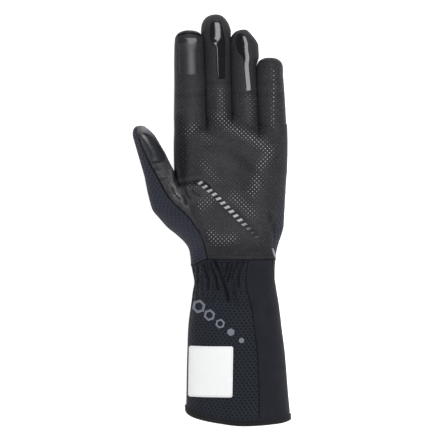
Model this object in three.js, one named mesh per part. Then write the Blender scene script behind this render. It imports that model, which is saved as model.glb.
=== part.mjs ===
// Left-hand karting glove lying on its back with the palm up. Sizes are in millimetres. +Y points to the
// fingertips, +Z to the palm side and +X to the little finger. The origin lies under the glove's middle.
import * as THREE from "three";

// Hand
const PALM_WIDTH = 87.4;
const PALM_LENGTH = 112.7;
const PALM_FRONT_HEIGHT = 18;
const PALM_BACK_HEIGHT = 16;
const REST_FLATTENING = 1;
const SECTION_ROUNDNESS = 2.3;
const WEB_DEPTH = 12;
const CROTCH_STEP = 2;
const FINGER_SLIT = 0.8;
const FINGER_DEPTH = 19;
const FINGER_CURL = 7;
const INDEX_LENGTH = 68.2;
const MIDDLE_LENGTH = 78.5;
const RING_LENGTH = 68.6;
const LITTLE_LENGTH = 51.9;
const THUMB_LENGTH = 33.5;
const THUMB_DEPTH = 20.5;
const THUMB_LIFT = 9;
const THUMB_WEB_DEPTH = 22;
const THENAR_BULGE = 6.5;
const HYPOTHENAR_BULGE = 2.5;
const PALM_HOLLOW_DEPTH = 4;

// Cuff
const CUFF_LENGTH = 127.5;
const WRIST_WIDTH = 62.4;
const CUFF_MOUTH_WIDTH = 80.5;
const WRIST_FRONT_HEIGHT = 14.5;
const WRIST_BACK_HEIGHT = 15.5;
const CUFF_MOUTH_HEIGHT = 18.5;
const WRIST_POINT_DROP = 4.5;
const GATHER_COUNT = 17;
const GATHER_DEPTH = 0.9;

// Cloth, seams and trims
const HAND_WALL = 1.8;
const CUFF_WALL = 1.6;
const SEAM_GAP = 0.3;
const BINDING_HEIGHT = 4.6;
const BINDING_WALL = 0.9;
const BINDING_GAP = 0.45;
const PATCH_WALL = 0.8;
const PATCH_GAP = 0.5;
const LABEL_HEIGHT = 38.8;
const LABEL_WIDTH = 34;
const TRIM_LENGTH = 6.6;
const TRIM_WIDTH = 1.7;

// Counts of rows and columns
const LANE_COLUMNS = 6;
const PALM_ROWS = 12;
const FINGER_ROWS = 6;
const TIP_ROWS = 4;
const THUMB_ROOT_ROWS = 9;
const THUMB_ROWS = 4;
const THUMB_FRONT_COLUMNS = 6;
const THUMB_BACK_COLUMNS = 10;
const GATHER_SAMPLES = 4;
const SIDE_COLUMNS = 8;
const BINDING_COLUMNS = 52;

// Sides of the palm from its hem (up 0) to the finger crotches (up 1), as shares of the palm's width from the
// centre line. border is the palm leather's left edge, under the same edge on the back, and wrap the width of
// the back's strip that shows at the right.
const PALM_SIDES = [
  { up: 0.0, right: 0.4018, border: -0.2054, under: -0.2054, wrap: 0.0232, wrist: 1 },
  { up: 0.059, right: 0.4286, border: -0.217, under: -0.2411, wrap: 0.0339, wrist: 0.7 },
  { up: 0.114, right: 0.4464, border: -0.2348, under: -0.2723, wrap: 0.0464, wrist: 0.4 },
  { up: 0.17, right: 0.4607, border: -0.2634, under: -0.3036, wrap: 0.0589, wrist: 0.15 },
  { up: 0.225, right: 0.4696, border: -0.292, under: -0.3348, wrap: 0.0652, wrist: 0 },
  { up: 0.28, right: 0.4732, border: -0.3232, under: -0.3661, wrap: 0.0652, wrist: 0 },
  { up: 0.349, right: 0.4786, border: -0.3607, under: -0.4018, wrap: 0.0554, wrist: 0 },
  { up: 0.405, right: 0.4821, border: -0.3929, under: -0.4286, wrap: 0.0268, wrist: 0 },
  { up: 0.446, right: 0.4857, border: -0.4196, under: -0.4464, wrap: 0.0071, wrist: 0 },
  { up: 0.488, right: 0.4884, border: -0.4464, under: -0.4643, wrap: 0, wrist: 0 },
  { up: 0.557, right: 0.4946, border: -0.4821, under: -0.4866, wrap: 0, wrist: 0 },
  { up: 0.606, right: 0.5, border: -0.5, under: -0.5, wrap: 0, wrist: 0 },
  { up: 0.779, right: 0.5054, border: -0.5045, under: -0.5045, wrap: 0, wrist: 0 },
  { up: 0.889, right: 0.5036, border: -0.5009, under: -0.5009, wrap: 0, wrist: 0 },
  { up: 1.0, right: 0.4938, border: -0.5045, under: -0.5045, wrap: 0, wrist: 0 },
];

// Heights of the palm's section over and under its seam plane, as shares of the two palm heights.
const PALM_HEIGHTS = [
  { up: 0.0, front: 0.85, back: 1.0, wrist: 1 },
  { up: 0.2, front: 0.97, back: 1.0, wrist: 0 },
  { up: 0.5, front: 1.0, back: 1.0, wrist: 0 },
  { up: 0.75, front: 0.86, back: 0.98, wrist: 0 },
  { up: 1.0, front: 0.66, back: 0.82, wrist: 0 },
];

// Thumb from the palm's hem (rise -1) past its crotch (rise 0) to its tip (rise 1), in shares of the palm's
// width. seam is the line where the leather front meets the knit back.
const THUMB_CROTCH_UP = 0.606;
const THUMB_SIDES = [
  { rise: -1.0, left: -0.3545, seam: -0.2054, right: -0.2054, wrist: 1 },
  { rise: -0.903, left: -0.3839, seam: -0.217, right: -0.217, wrist: 0.7 },
  { rise: -0.811, left: -0.4464, seam: -0.2375, right: -0.2348, wrist: 0.4 },
  { rise: -0.72, left: -0.5089, seam: -0.2714, right: -0.2634, wrist: 0.15 },
  { rise: -0.629, left: -0.5714, seam: -0.3089, right: -0.292, wrist: 0 },
  { rise: -0.537, left: -0.6339, seam: -0.3589, right: -0.3232, wrist: 0 },
  { rise: -0.446, left: -0.6911, seam: -0.433, right: -0.3607, wrist: 0 },
  { rise: -0.354, left: -0.7143, seam: -0.5107, right: -0.3929, wrist: 0 },
  { rise: -0.263, left: -0.7321, seam: -0.5679, right: -0.4196, wrist: 0 },
  { rise: -0.171, left: -0.7473, seam: -0.6071, right: -0.4464, wrist: 0 },
  { rise: -0.08, left: -0.7607, seam: -0.6429, right: -0.4821, wrist: 0 },
  { rise: 0.0, left: -0.7768, seam: -0.6786, right: -0.5, wrist: 0 },
  { rise: 0.209, left: -0.8009, seam: -0.7196, right: -0.542, wrist: 0 },
  { rise: 0.395, left: -0.8214, seam: -0.7536, right: -0.575, wrist: 0 },
  { rise: 0.581, left: -0.8411, seam: -0.7857, right: -0.6161, wrist: 0 },
  { rise: 0.721, left: -0.8571, seam: -0.8214, right: -0.6473, wrist: 0 },
  { rise: 0.814, left: -0.8696, seam: -0.8696, right: -0.6696, wrist: 0 },
  { rise: 1.0, left: -0.9018, seam: -0.9018, right: -0.7054, wrist: 0 },
];

// Each finger from its crotch (along 0) to its tip (along 1): centre line and half width in shares of the
// palm's width. lane is the finger's share of the palm's width below it, dip the height of the crotches at its
// two sides against the highest one, in shares of the palm's length.
const FINGERS = [
  {
    name: "index", length: INDEX_LENGTH, lane: 0.285, dips: [-0.0415, -0.0415], tip: 0.8,
    rows: [
      { along: 0.0, centre: -0.3616, half: 0.142 },
      { along: 0.343, centre: -0.3634, half: 0.1366 },
      { along: 0.709, centre: -0.3696, half: 0.1304 },
      { along: 0.846, centre: -0.371, half: 0.1263 },
      { along: 1.0, centre: -0.3589, half: 0.1196 },
    ],
  },
  {
    name: "middle", length: MIDDLE_LENGTH, lane: 0.229, dips: [-0.0415, 0], tip: 1.15,
    rows: [
      { along: 0.0, centre: -0.1054, half: 0.1143 },
      { along: 0.268, centre: -0.1107, half: 0.1156 },
      { along: 0.567, centre: -0.1183, half: 0.1156 },
      { along: 0.716, centre: -0.121, half: 0.1201 },
      { along: 0.795, centre: -0.1299, half: 0.1272 },
      { along: 1.0, centre: -0.1304, half: 0.1295 },
    ],
  },
  {
    name: "ring", length: RING_LENGTH, lane: 0.232, dips: [0, -0.083], tip: 1.1,
    rows: [
      { along: 0.0, centre: 0.125, half: 0.1161 },
      { along: 0.341, centre: 0.1179, half: 0.1134 },
      { along: 0.591, centre: 0.1125, half: 0.1107 },
      { along: 0.705, centre: 0.1235, half: 0.122 },
      { along: 0.795, centre: 0.1196, half: 0.1225 },
      { along: 1.0, centre: 0.1161, half: 0.1179 },
    ],
  },
  {
    name: "little", length: LITTLE_LENGTH, lane: 0.254, dips: [-0.083, -0.083], tip: 0.85,
    rows: [
      { along: 0.0, centre: 0.3679, half: 0.1268 },
      { along: 0.3, centre: 0.3607, half: 0.1241 },
      { along: 0.541, centre: 0.3536, half: 0.1214 },
      { along: 0.781, centre: 0.3473, half: 0.117 },
      { along: 1.0, centre: 0.3473, half: 0.1125 },
    ],
  },
];

// Cuff from the wrist seam (down 0) to the mouth (down 1). flare goes from the wrist's narrowest width (0) to
// the mouth's (1), centre is a share of the mouth's width, seam and backSeam are where the side panel begins
// and ends round the cuff, in half turns from the thumb's side.
const CUFF_SECTIONS = [
  { down: 0.0, centre: 0.0253, flare: 0.18, deep: 0, gather: 0.3, seam: 0.614, backSeam: 0.88 },
  { down: 0.046, centre: 0.0285, flare: 0.08, deep: 0.02, gather: 0.8, seam: 0.604, backSeam: 0.9 },
  { down: 0.119, centre: 0.038, flare: 0.0, deep: 0.04, gather: 1.0, seam: 0.588, backSeam: 0.94 },
  { down: 0.193, centre: 0.035, flare: 0.132, deep: 0.15, gather: 0.85, seam: 0.6, backSeam: 1.0 },
  { down: 0.291, centre: 0.038, flare: 0.32, deep: 0.3, gather: 0.35, seam: 0.622, backSeam: 1.0 },
  { down: 0.388, centre: 0.038, flare: 0.48, deep: 0.45, gather: 0.15, seam: 0.635, backSeam: 1.0 },
  { down: 0.584, centre: 0.05, flare: 0.7, deep: 0.7, gather: 0.05, seam: 0.645, backSeam: 1.0 },
  { down: 0.878, centre: 0.0643, flare: 0.9, deep: 0.9, gather: 0.0, seam: 0.638, backSeam: 1.0 },
  { down: 1.0, centre: 0.0715, flare: 1.0, deep: 1.0, gather: 0.0, seam: 0.63, backSeam: 1.0 },
];

// The hem's line over the lowest point, round half the cuff from the thumb's side, in shares of its length.
const HEM_LINE = [
  { around: 0.0, rise: 0.085 },
  { around: 0.16, rise: 0.05 },
  { around: 0.36, rise: 0.018 },
  { around: 0.53, rise: 0.0 },
  { around: 0.75, rise: 0.01 },
  { around: 1.0, rise: 0.032 },
];

// Glossy patches: where each lies along its digit, and the turns between which it lies round the digit, in
// half turns from the left side; lean shifts it to the right at the top end.
const GRIP_PATCHES = [
  { finger: 0, name: "grip_patch_index", from: 0.49, to: 0.93, rows: [
    { at: 0.0, start: 0.28, end: 0.66 },
    { at: 0.6, start: 0.27, end: 0.68 },
    { at: 1.0, start: 0.3, end: 0.72 } ] },
  { finger: 1, name: "grip_patch_middle", from: 0.36, to: 0.93, rows: [
    { at: 0.0, start: 0.48, end: 0.69 },
    { at: 0.5, start: 0.45, end: 0.7 },
    { at: 0.68, start: 0.36, end: 0.68 },
    { at: 1.0, start: 0.36, end: 0.66 } ] },
  { finger: 2, name: "grip_patch_ring", from: 0.31, to: 0.92, rows: [
    { at: 0.0, start: 0.51, end: 0.72 },
    { at: 0.55, start: 0.43, end: 0.68 },
    { at: 0.8, start: 0.34, end: 0.63 },
    { at: 1.0, start: 0.4, end: 0.58 } ] },
];
const THUMB_PATCH = [
  { rise: 0.17, start: 0.47, end: 0.66 },
  { rise: 0.25, start: 0.37, end: 0.75 },
  { rise: 0.5, start: 0.29, end: 0.8 },
  { rise: 0.75, start: 0.27, end: 0.78 },
  { rise: 0.88, start: 0.34, end: 0.68 },
];

// Where the label and the short trim lie.
const LABEL_DOWN = 0.69;
const LABEL_START = 0.08;
const TRIM_UP = 0.045;
const TRIM_SLOPE = 0.5;

const FINISHES = {
  leather: { color: 0x39393c, roughness: 0.62 },
  knit: { color: 0x282b36, roughness: 0.9 },
  mesh: { color: 0x23262e, roughness: 0.92 },
  stretch: { color: 0x282a32, roughness: 0.85 },
  gloss: { color: 0x18191e, roughness: 0.18 },
  label: { color: 0xfafafa, roughness: 0.7 },
  binding: { color: 0x2b2b2f, roughness: 0.85 },
  trim: { color: 0x9a9ca6, roughness: 0.6 },
};

const mix = (a, b, share) => a + (b - a) * share;
const clamp = (value, low, high) => Math.min(high, Math.max(low, value));
const smooth = (value) => {
  const share = clamp(value, 0, 1);
  return share * share * (3 - 2 * share);
};

/** Slope of a table's column at one row, flat at peaks so that the curve never overshoots. */
function slopeAt(table, place, column, row) {
  const step = (k) => (table[k + 1][column] - table[k][column]) / (table[k + 1][place] - table[k][place]);
  if (row === 0) return step(0);
  if (row === table.length - 1) return step(row - 1);
  const before = step(row - 1);
  const after = step(row);
  return before * after <= 0 ? 0 : (2 * before * after) / (before + after);
}

/** Value of a table's column at a place, on a smooth curve through its rows. */
function read(table, place, column, at) {
  const last = table.length - 1;
  if (at <= table[0][place]) return table[0][column];
  if (at >= table[last][place]) return table[last][column];
  let row = 0;
  while (at > table[row + 1][place]) row += 1;
  const span = table[row + 1][place] - table[row][place];
  const t = (at - table[row][place]) / span;
  const first = table[row][column];
  const second = table[row + 1][column];
  const leave = slopeAt(table, place, column, row) * span;
  const arrive = slopeAt(table, place, column, row + 1) * span;
  const rest = 1 - t;
  return first * rest * rest * (1 + 2 * t) + second * t * t * (3 - 2 * t)
    + leave * t * rest * rest - arrive * t * t * rest;
}

/** Collects pairs of outer and inner points and faces, and closes them into one solid wall of cloth. */
class Cloth {
  constructor() {
    this.outer = [];
    this.inner = [];
    this.faces = [];
    this.known = new Map();
  }

  point([outer, inner]) {
    const key = outer.map((value) => Math.round(value * 5000)).join(" ");
    if (!this.known.has(key)) {
      this.known.set(key, this.outer.length);
      this.outer.push(outer);
      this.inner.push(inner);
    }
    return this.known.get(key);
  }

  face(a, b, c) {
    if (a !== b && b !== c && a !== c) this.faces.push([a, b, c]);
  }

  /** A grid of points given by at(row, column), with outward faces when columns run to the left of rows. */
  grid(rows, columns, at) {
    const ids = [];
    for (let row = 0; row <= rows; row += 1) {
      ids.push([]);
      for (let column = 0; column <= columns; column += 1) ids[row].push(this.point(at(row, column)));
    }
    for (let row = 0; row < rows; row += 1) {
      for (let column = 0; column < columns; column += 1) {
        const [a, b] = [ids[row][column], ids[row][column + 1]];
        const [d, c] = [ids[row + 1][column], ids[row + 1][column + 1]];
        this.face(a, b, c);
        this.face(a, c, d);
      }
    }
  }

  /** Geometry with the outer faces, the inner faces turned round, and a rim along every open edge. */
  geometry() {
    const count = this.outer.length;
    const open = new Map();
    for (const face of this.faces) {
      for (let k = 0; k < 3; k += 1) {
        const [from, to] = [face[k], face[(k + 1) % 3]];
        const back = `${to} ${from}`;
        if (open.has(back)) open.delete(back);
        else open.set(`${from} ${to}`, [from, to]);
      }
    }
    const index = [];
    for (const [a, b, c] of this.faces) index.push(a, b, c, count + a, count + c, count + b);
    for (const [from, to] of open.values()) index.push(to, from, count + from, to, count + from, count + to);
    const geometry = new THREE.BufferGeometry();
    const flat = [...this.outer, ...this.inner].flat();
    geometry.setAttribute("position", new THREE.Float32BufferAttribute(flat, 3));
    geometry.setIndex(index);
    geometry.computeVertexNormals();
    return geometry;
  }
}

const restHeight = (z, inset) => Math.max(z, inset);
const upAt = (y) => (y - CUFF_LENGTH) / PALM_LENGTH;
const thumbCrotchY = CUFF_LENGTH + THUMB_CROTCH_UP * PALM_LENGTH;
const riseAt = (y) => (y > thumbCrotchY ? (y - thumbCrotchY) / THUMB_LENGTH
  : (y - thumbCrotchY) / (THUMB_CROTCH_UP * PALM_LENGTH));

const wristCentre = read(CUFF_SECTIONS, "down", "centre", 0) * CUFF_MOUTH_WIDTH;
const wristHalf = mix(WRIST_WIDTH, CUFF_MOUTH_WIDTH, CUFF_SECTIONS[0].flare) / 2;

const palmSide = (y, column) => read(PALM_SIDES, "up", column, upAt(y)) * PALM_WIDTH;
const thumbSide = (y, column) => read(THUMB_SIDES, "rise", column, riseAt(y)) * PALM_WIDTH;
const wristShare = (y) => (y > thumbCrotchY ? 0 : read(PALM_SIDES, "up", "wrist", upAt(y)));
const palmRight = (y) => mix(palmSide(y, "right"), wristCentre + wristHalf, wristShare(y));
const handLeft = (y) => mix(thumbSide(y, "left"), wristCentre - wristHalf, wristShare(y));
const frontHeight = (y) => mix(read(PALM_HEIGHTS, "up", "front", upAt(y)) * PALM_FRONT_HEIGHT,
  WRIST_FRONT_HEIGHT, read(PALM_HEIGHTS, "up", "wrist", upAt(y)));
const backHeight = (y) => mix(read(PALM_HEIGHTS, "up", "back", upAt(y)) * PALM_BACK_HEIGHT,
  WRIST_BACK_HEIGHT, read(PALM_HEIGHTS, "up", "wrist", upAt(y)));
const seamHeight = (y) => backHeight(y) - REST_FLATTENING;
const thumbJoin = (y) => smooth((thumbCrotchY - y) / THUMB_WEB_DEPTH);
const roundSection = (share) => (1 - clamp(Math.abs(share), 0, 1) ** SECTION_ROUNDNESS) ** (1 / SECTION_ROUNDNESS);

/** Soft hills and the hollow of the palm, over the plain section. */
function palmRelief(x, y) {
  const along = upAt(y);
  const across = x / PALM_WIDTH;
  const hill = (cx, cy, wide, long) => Math.exp(-(((across - cx) / wide) ** 2) - ((along - cy) / long) ** 2);
  return THENAR_BULGE * hill(-0.27, 0.28, 0.22, 0.24) + HYPOTHENAR_BULGE * hill(0.3, 0.35, 0.16, 0.28)
    - PALM_HOLLOW_DEPTH * hill(0.02, 0.56, 0.2, 0.22);
}

/** Height over the seam plane of a section between two sides, above it for front 1 and below it for -1. */
function sectionHeight(x, y, left, right, front, inset) {
  const centre = (left + right) / 2;
  const half = (right - left) / 2;
  const share = (x - centre) / (half - inset);
  const window = 1 - clamp(Math.abs((x - centre) / half), 0, 1) ** 4;
  const tall = front > 0 ? frontHeight(y) : -backHeight(y);
  const relief = front > 0 ? palmRelief(x, y) * window * smooth(upAt(y) / 0.12) * smooth((1 - upAt(y)) / 0.15) : 0;
  return (tall - Math.sign(tall) * inset) * roundSection(share) + relief;
}

/** Left edge of the palm leather or of the back, moved off the thumb's pieces by half a seam gap. */
const palmLeft = (y, front) => palmSide(y, front > 0 ? "border" : "under") + SEAM_GAP / 2
  + (wristShare(y) > 0 ? (wristCentre - CUFF_SECTIONS[0].centre * CUFF_MOUTH_WIDTH) * wristShare(y) : 0);

/** Crotch line at a lane's side k, from 0 at the thumb's side to 4 at the little finger's. */
function crotchY(k) {
  const dip = k < 4 ? FINGERS[k].dips[0] : FINGERS[3].dips[1];
  return CUFF_LENGTH + PALM_LENGTH * (1 + dip);
}

/** A point of the palm or the back: up the hand by v, in a finger's lane, turned by phi round the lane. */
function palmPoint(v, finger, phi, front, inset) {
  const across = (1 - Math.cos(phi)) / 2;
  const low = CUFF_LENGTH + SEAM_GAP / 2;
  const high = mix(crotchY(finger), crotchY(finger + 1), across) - inset;
  const y = mix(low, high, v);
  const join = thumbJoin(y);
  const rightPull = inset;
  const left = palmLeft(y, front) + inset * (1 - join);
  const right = palmRight(y) - rightPull;
  let start = 0;
  for (let k = 0; k < finger; k += 1) start += FINGERS[k].lane;
  const laneLeft = mix(left, right, start);
  const laneRight = mix(left, right, start + FINGERS[finger].lane);
  const x = mix(laneLeft, laneRight, across);
  const side = Math.abs(Math.sin(phi)) < 1e-6 ? front : Math.sign(Math.sin(phi));
  const digit = (FINGER_DEPTH / 2 - inset) * Math.sin(phi);
  const alone = sectionHeight(x, y, palmLeft(y, front), palmRight(y), side, inset);
  const whole = join > 0 ? sectionHeight(x, y, handLeft(y), palmRight(y), side, inset) : alone;
  const web = smooth((high - y) / WEB_DEPTH);
  const z = seamHeight(y) + (front * SEAM_GAP) / 2 + mix(digit, mix(alone, whole, join), web);
  return [x, y, restHeight(z, inset)];
}

/** Turn of a seam that lies a width in from a side, moved on by half a seam gap (front 1) or back (-1). */
function seamTurn(wide, half, front) {
  const turn = Math.acos(clamp(1 - Math.max(0, wide) / half, -1, 1));
  const gap = SEAM_GAP / 2 / half;
  return clamp(turn + front * gap * clamp(turn / (2 * gap), 0, 1), 0, Math.PI);
}

/** Turn round the little finger's lane at which the palm leather ends and the back's strip begins. */
function wrapTurn(y, finger, front) {
  if (finger < 3) return 0;
  const wide = palmSide(y, "wrap");
  const half = (FINGERS[3].lane * (palmRight(y) - palmLeft(y, 1))) / 2;
  return seamTurn(wide, half, front);
}

/** Turn of a column in a finger's lane, for the palm's side (front 1) or the back's (front -1). */
function laneTurn(y, finger, front, column) {
  const wrap = wrapTurn(y, finger, front);
  return front > 0 ? ((Math.PI - wrap) * column) / LANE_COLUMNS
    : Math.PI - wrap + ((Math.PI + wrap) * column) / LANE_COLUMNS;
}

/** A point of a finger: row 0 is on the crotch line and the last row is its tip, grown outward by grow. */
function fingerPoint(finger, y, dome, phi, front, inset) {
  const { rows, length, tip } = FINGERS[finger];
  const base = (crotchY(finger) + crotchY(finger + 1)) / 2;
  const along = clamp((y - base) / length, 0, 1);
  const outside = finger === 0 ? -1 : Number(finger === 3);
  const centre = read(rows, "along", "centre", along) * PALM_WIDTH + (outside * FINGER_SLIT) / 4;
  const half = read(rows, "along", "half", along) * PALM_WIDTH + (Math.abs(outside) * FINGER_SLIT) / 4;
  const round = Math.cos(dome) ** 0.84;
  const wide = Math.max(0, half - FINGER_SLIT / 2 - inset) * (dome > 1.57 ? 0 : round);
  const deep = (FINGER_DEPTH / 2 - inset) * (dome > 1.57 ? 0 : round);
  const tipReach = (half * tip - inset) * Math.sin(dome) ** 0.84;
  const lift = FINGER_CURL * ((y + tipReach - base) / length) ** 2;
  const x = centre - wide * Math.cos(phi);
  const root = mix(crotchY(finger), crotchY(finger + 1), (1 - Math.cos(phi)) / 2);
  const z = seamHeight(root) + lift + (front * SEAM_GAP) / 2 + deep * Math.sin(phi);
  return [x, y + tipReach, restHeight(z, inset)];
}

/** Height at which a finger's rounded tip starts. */
function domeStart(finger) {
  const { rows, length, tip } = FINGERS[finger];
  const base = (crotchY(finger) + crotchY(finger + 1)) / 2;
  return base + length - rows[rows.length - 1].half * PALM_WIDTH * tip;
}

/** Outer or inner point of a finger's grid. */
function fingerGridPoint(finger, row, phi, front, inset) {
  if (row === 0) return palmPoint(1, finger, phi, front, inset);
  const across = (1 - Math.cos(phi)) / 2;
  const low = mix(crotchY(finger), crotchY(finger + 1), across);
  const high = domeStart(finger);
  if (row <= FINGER_ROWS + 1) {
    const share = (row - 1) / FINGER_ROWS;
    const y = mix(low + CROTCH_STEP, high, share);
    return fingerPoint(finger, y, 0, phi, front, inset);
  }
  return fingerPoint(finger, high, ((row - FINGER_ROWS - 1) / TIP_ROWS) * (Math.PI / 2), phi, front, inset);
}

/** The palm leather (front 1) or the knit back (front -1), each with its four finger halves. */
function handPanel(front) {
  const cloth = new Cloth();
  for (let finger = 0; finger < 4; finger += 1) {
    cloth.grid(PALM_ROWS, LANE_COLUMNS, (row, column) => {
      const v = row / PALM_ROWS;
      const y = mix(CUFF_LENGTH, crotchY(finger), v);
      const phi = laneTurn(y, finger, front, column);
      return [palmPoint(v, finger, phi, front, 0), palmPoint(v, finger, phi, front, HAND_WALL)];
    });
    cloth.grid(FINGER_ROWS + 1 + TIP_ROWS, LANE_COLUMNS, (row, column) => {
      const phi = laneTurn(crotchY(3) + 1, finger, front, column);
      return [fingerGridPoint(finger, row, phi, front, 0), fingerGridPoint(finger, row, phi, front, HAND_WALL)];
    });
  }
  return cloth.geometry();
}

/** Left and right sides of the thumb or its root, on the front or the back. */
function thumbSpan(y, front) {
  const left = handLeft(y);
  if (y > thumbCrotchY) return [left, thumbSide(y, "right")];
  return [left, palmLeft(y, front) - SEAM_GAP];
}

const thumbDomeStart = () => thumbCrotchY + THUMB_LENGTH - 0.09 * PALM_WIDTH * 1.1;

/** A point of the thumb turned by phi round it, 0 at its left side, positive over the front. */
function thumbPoint(y, dome, phi, front, inset, span) {
  const side = phi >= 0 ? 1 : -1;
  const [left, right] = span ?? thumbSpan(y, side);
  const join = thumbJoin(y);
  const round = dome > 1.57 ? 0 : Math.cos(dome) ** 0.84;
  const centre = (left + right + inset * join) / 2;
  const half = Math.max(0.2, (right - left) / 2 - inset * (1 - join / 2)) * round;
  const x = centre - half * Math.cos(phi);
  const reach = (0.09 * PALM_WIDTH * 1.1 - inset) * Math.sin(dome) ** 0.84;
  const lift = THUMB_LIFT * smooth((y - thumbCrotchY) / THUMB_LENGTH);
  const free = (THUMB_DEPTH / 2 - inset) * round * Math.sin(phi);
  const whole = join > 0 ? sectionHeight(x, y, handLeft(y), palmRight(y), side, inset) : free;
  const z = seamHeight(Math.min(y, thumbCrotchY)) + lift + (front * SEAM_GAP) / 2 + mix(free, whole, join);
  return [x, y + reach, restHeight(z, inset)];
}

/** Turn of the seam between the thumb's leather and its knit, moved off it by half a seam gap. */
function thumbSeamTurn(y, front) {
  const [left, right] = thumbSpan(y, 1);
  const wide = Math.min(thumbSide(y, "seam"), right) - left;
  return seamTurn(wide, (right - left) / 2, front);
}

/** Heights of the thumb's rows between two heights, then the rounded tip. */
function thumbRows(low) {
  const rows = [];
  const high = thumbDomeStart();
  for (let k = 0; k <= THUMB_ROOT_ROWS; k += 1) {
    const y = mix(CUFF_LENGTH + SEAM_GAP / 2, thumbCrotchY, k / THUMB_ROOT_ROWS);
    if (y > low + 2) rows.push({ y, dome: 0 });
  }
  for (let k = 1; k <= THUMB_ROWS; k += 1) rows.push({ y: mix(thumbCrotchY, high, k / THUMB_ROWS), dome: 0 });
  for (let k = 1; k <= TIP_ROWS; k += 1) rows.push({ y: high, dome: (k / TIP_ROWS) * (Math.PI / 2) });
  return [{ y: low, dome: 0 }, ...rows];
}

/** How far the wrist seam drops at the thumb's side, at a turn round the wrist. */
const wristDrop = (turn) => WRIST_POINT_DROP * smooth((Math.cos(turn) - 0.62) / 0.38);

/** Leather front of the thumb, from its narrow foot at the thenar seam to its tip. */
function thumbFront() {
  const cloth = new Cloth();
  const rows = thumbRows(CUFF_LENGTH + 0.21 * PALM_LENGTH);
  cloth.grid(rows.length - 1, THUMB_FRONT_COLUMNS, (row, column) => {
    const { y, dome } = rows[row];
    const start = thumbSeamTurn(y, 1);
    const phi = mix(start, Math.PI, column / THUMB_FRONT_COLUMNS);
    return [thumbPoint(y, dome, phi, 1, 0), thumbPoint(y, dome, phi, 1, HAND_WALL)];
  });
  return cloth.geometry();
}

/** Knit back of the thumb, round its left side from the underside to the seam with the leather. */
function thumbBack() {
  const cloth = new Cloth();
  const rows = thumbRows(CUFF_LENGTH + SEAM_GAP / 2);
  cloth.grid(rows.length - 1, THUMB_BACK_COLUMNS, (row, column) => {
    const { y, dome } = rows[row];
    const end = thumbSeamTurn(y, -1);
    const phi = mix(-Math.PI, end, column / THUMB_BACK_COLUMNS);
    const points = [0, HAND_WALL].map((inset) => thumbPoint(y, dome, phi, -1, inset));
    const sink = 1 - smooth((y - CUFF_LENGTH) / 12);
    for (const point of points) {
      const turn = Math.acos(clamp((wristCentre - point[0]) / wristHalf, -1, 1));
      point[1] -= wristDrop(turn) * sink;
    }
    return points;
  });
  return cloth.geometry();
}

const cuffRead = (down, column) => read(CUFF_SECTIONS, "down", column, down);

/** Height of the hem's line at a turn round the cuff. */
function hemY(turn) {
  const around = Math.abs(Math.atan2(Math.sin(turn), Math.cos(turn))) / Math.PI;
  return read(HEM_LINE, "around", "rise", around) * CUFF_LENGTH;
}

/** A point of the cuff: down it by a share, turned from the thumb's side over the front, inset from the skin. */
function cuffPoint(down, turn, inset, ripple = 0) {
  const flare = cuffRead(down, "flare");
  const deep = cuffRead(down, "deep");
  const centre = cuffRead(down, "centre") * CUFF_MOUTH_WIDTH;
  const half = mix(WRIST_WIDTH, CUFF_MOUTH_WIDTH, flare) / 2;
  const front = mix(WRIST_FRONT_HEIGHT, CUFF_MOUTH_HEIGHT, deep);
  const back = mix(WRIST_BACK_HEIGHT, CUFF_MOUTH_HEIGHT, deep);
  const tall = Math.sin(turn) >= 0 ? front : -back;
  const x = centre - (half + ripple - inset) * Math.cos(turn);
  const z = back - REST_FLATTENING + (tall + Math.sign(tall) * (ripple - inset)) * roundSection(Math.cos(turn));
  const floor = (BINDING_GAP + BINDING_WALL) * smooth((down - 0.84) / 0.1);
  return [x, Math.max(z, floor + inset)];
}

/** Height of the cuff at a share down from the wrist seam, at a turn. */
const cuffY = (down, turn, low) => mix(CUFF_LENGTH - SEAM_GAP / 2 - wristDrop(turn), low + hemY(turn), down);

/** Rows of the cuff's cloth, closer together in the gathers. */
const CUFF_ROW_SHARES = [1, 0.94, 0.8, 0.6, 0.42, 0.3, 0.22, 0.15, 0.08, 0];

/** Gathered mesh of the cuff, from the side panel's back seam under the cuff and round to its front seam. */
function cuffMesh() {
  const cloth = new Cloth();
  const columns = GATHER_COUNT * GATHER_SAMPLES;
  const low = BINDING_WALL + BINDING_GAP;
  cloth.grid(CUFF_ROW_SHARES.length - 1, columns, (row, column) => {
    const down = CUFF_ROW_SHARES[row];
    const edge = SEAM_GAP / 2 / (WRIST_WIDTH / 2) / 0.7;
    const start = -Math.PI * (2 - cuffRead(down, "backSeam")) + edge;
    const end = Math.PI * cuffRead(down, "seam") - edge;
    const turn = mix(start, end, column / columns);
    const fold = Math.cos((2 * Math.PI * column) / GATHER_SAMPLES);
    const fade = smooth(Math.min(column, columns - column) / GATHER_SAMPLES);
    const ripple = GATHER_DEPTH * (fold - 1) * 0.5 * cuffRead(down, "gather") * fade;
    const y = cuffY(down, turn, low);
    const [x, z] = cuffPoint(down, turn, 0, ripple);
    const [xi, zi] = cuffPoint(down, turn, CUFF_WALL, ripple);
    return [[x, y, z], [xi, y, zi]];
  });
  return cloth.geometry();
}

/** Smooth stretch panel at the right side of the cuff. */
function cuffSidePanel() {
  const cloth = new Cloth();
  const low = BINDING_WALL + BINDING_GAP;
  cloth.grid(CUFF_ROW_SHARES.length - 1, SIDE_COLUMNS, (row, column) => {
    const down = CUFF_ROW_SHARES[row];
    const edge = SEAM_GAP / 2 / (WRIST_WIDTH / 2) / 0.7;
    const start = Math.PI * cuffRead(down, "seam") + edge;
    const end = Math.PI * cuffRead(down, "backSeam") - edge;
    const turn = mix(start, end, column / SIDE_COLUMNS);
    const y = cuffY(down, turn, low);
    const [x, z] = cuffPoint(down, turn, 0);
    const [xi, zi] = cuffPoint(down, turn, CUFF_WALL);
    return [[x, y, z], [xi, y, zi]];
  });
  return cloth.geometry();
}

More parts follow.
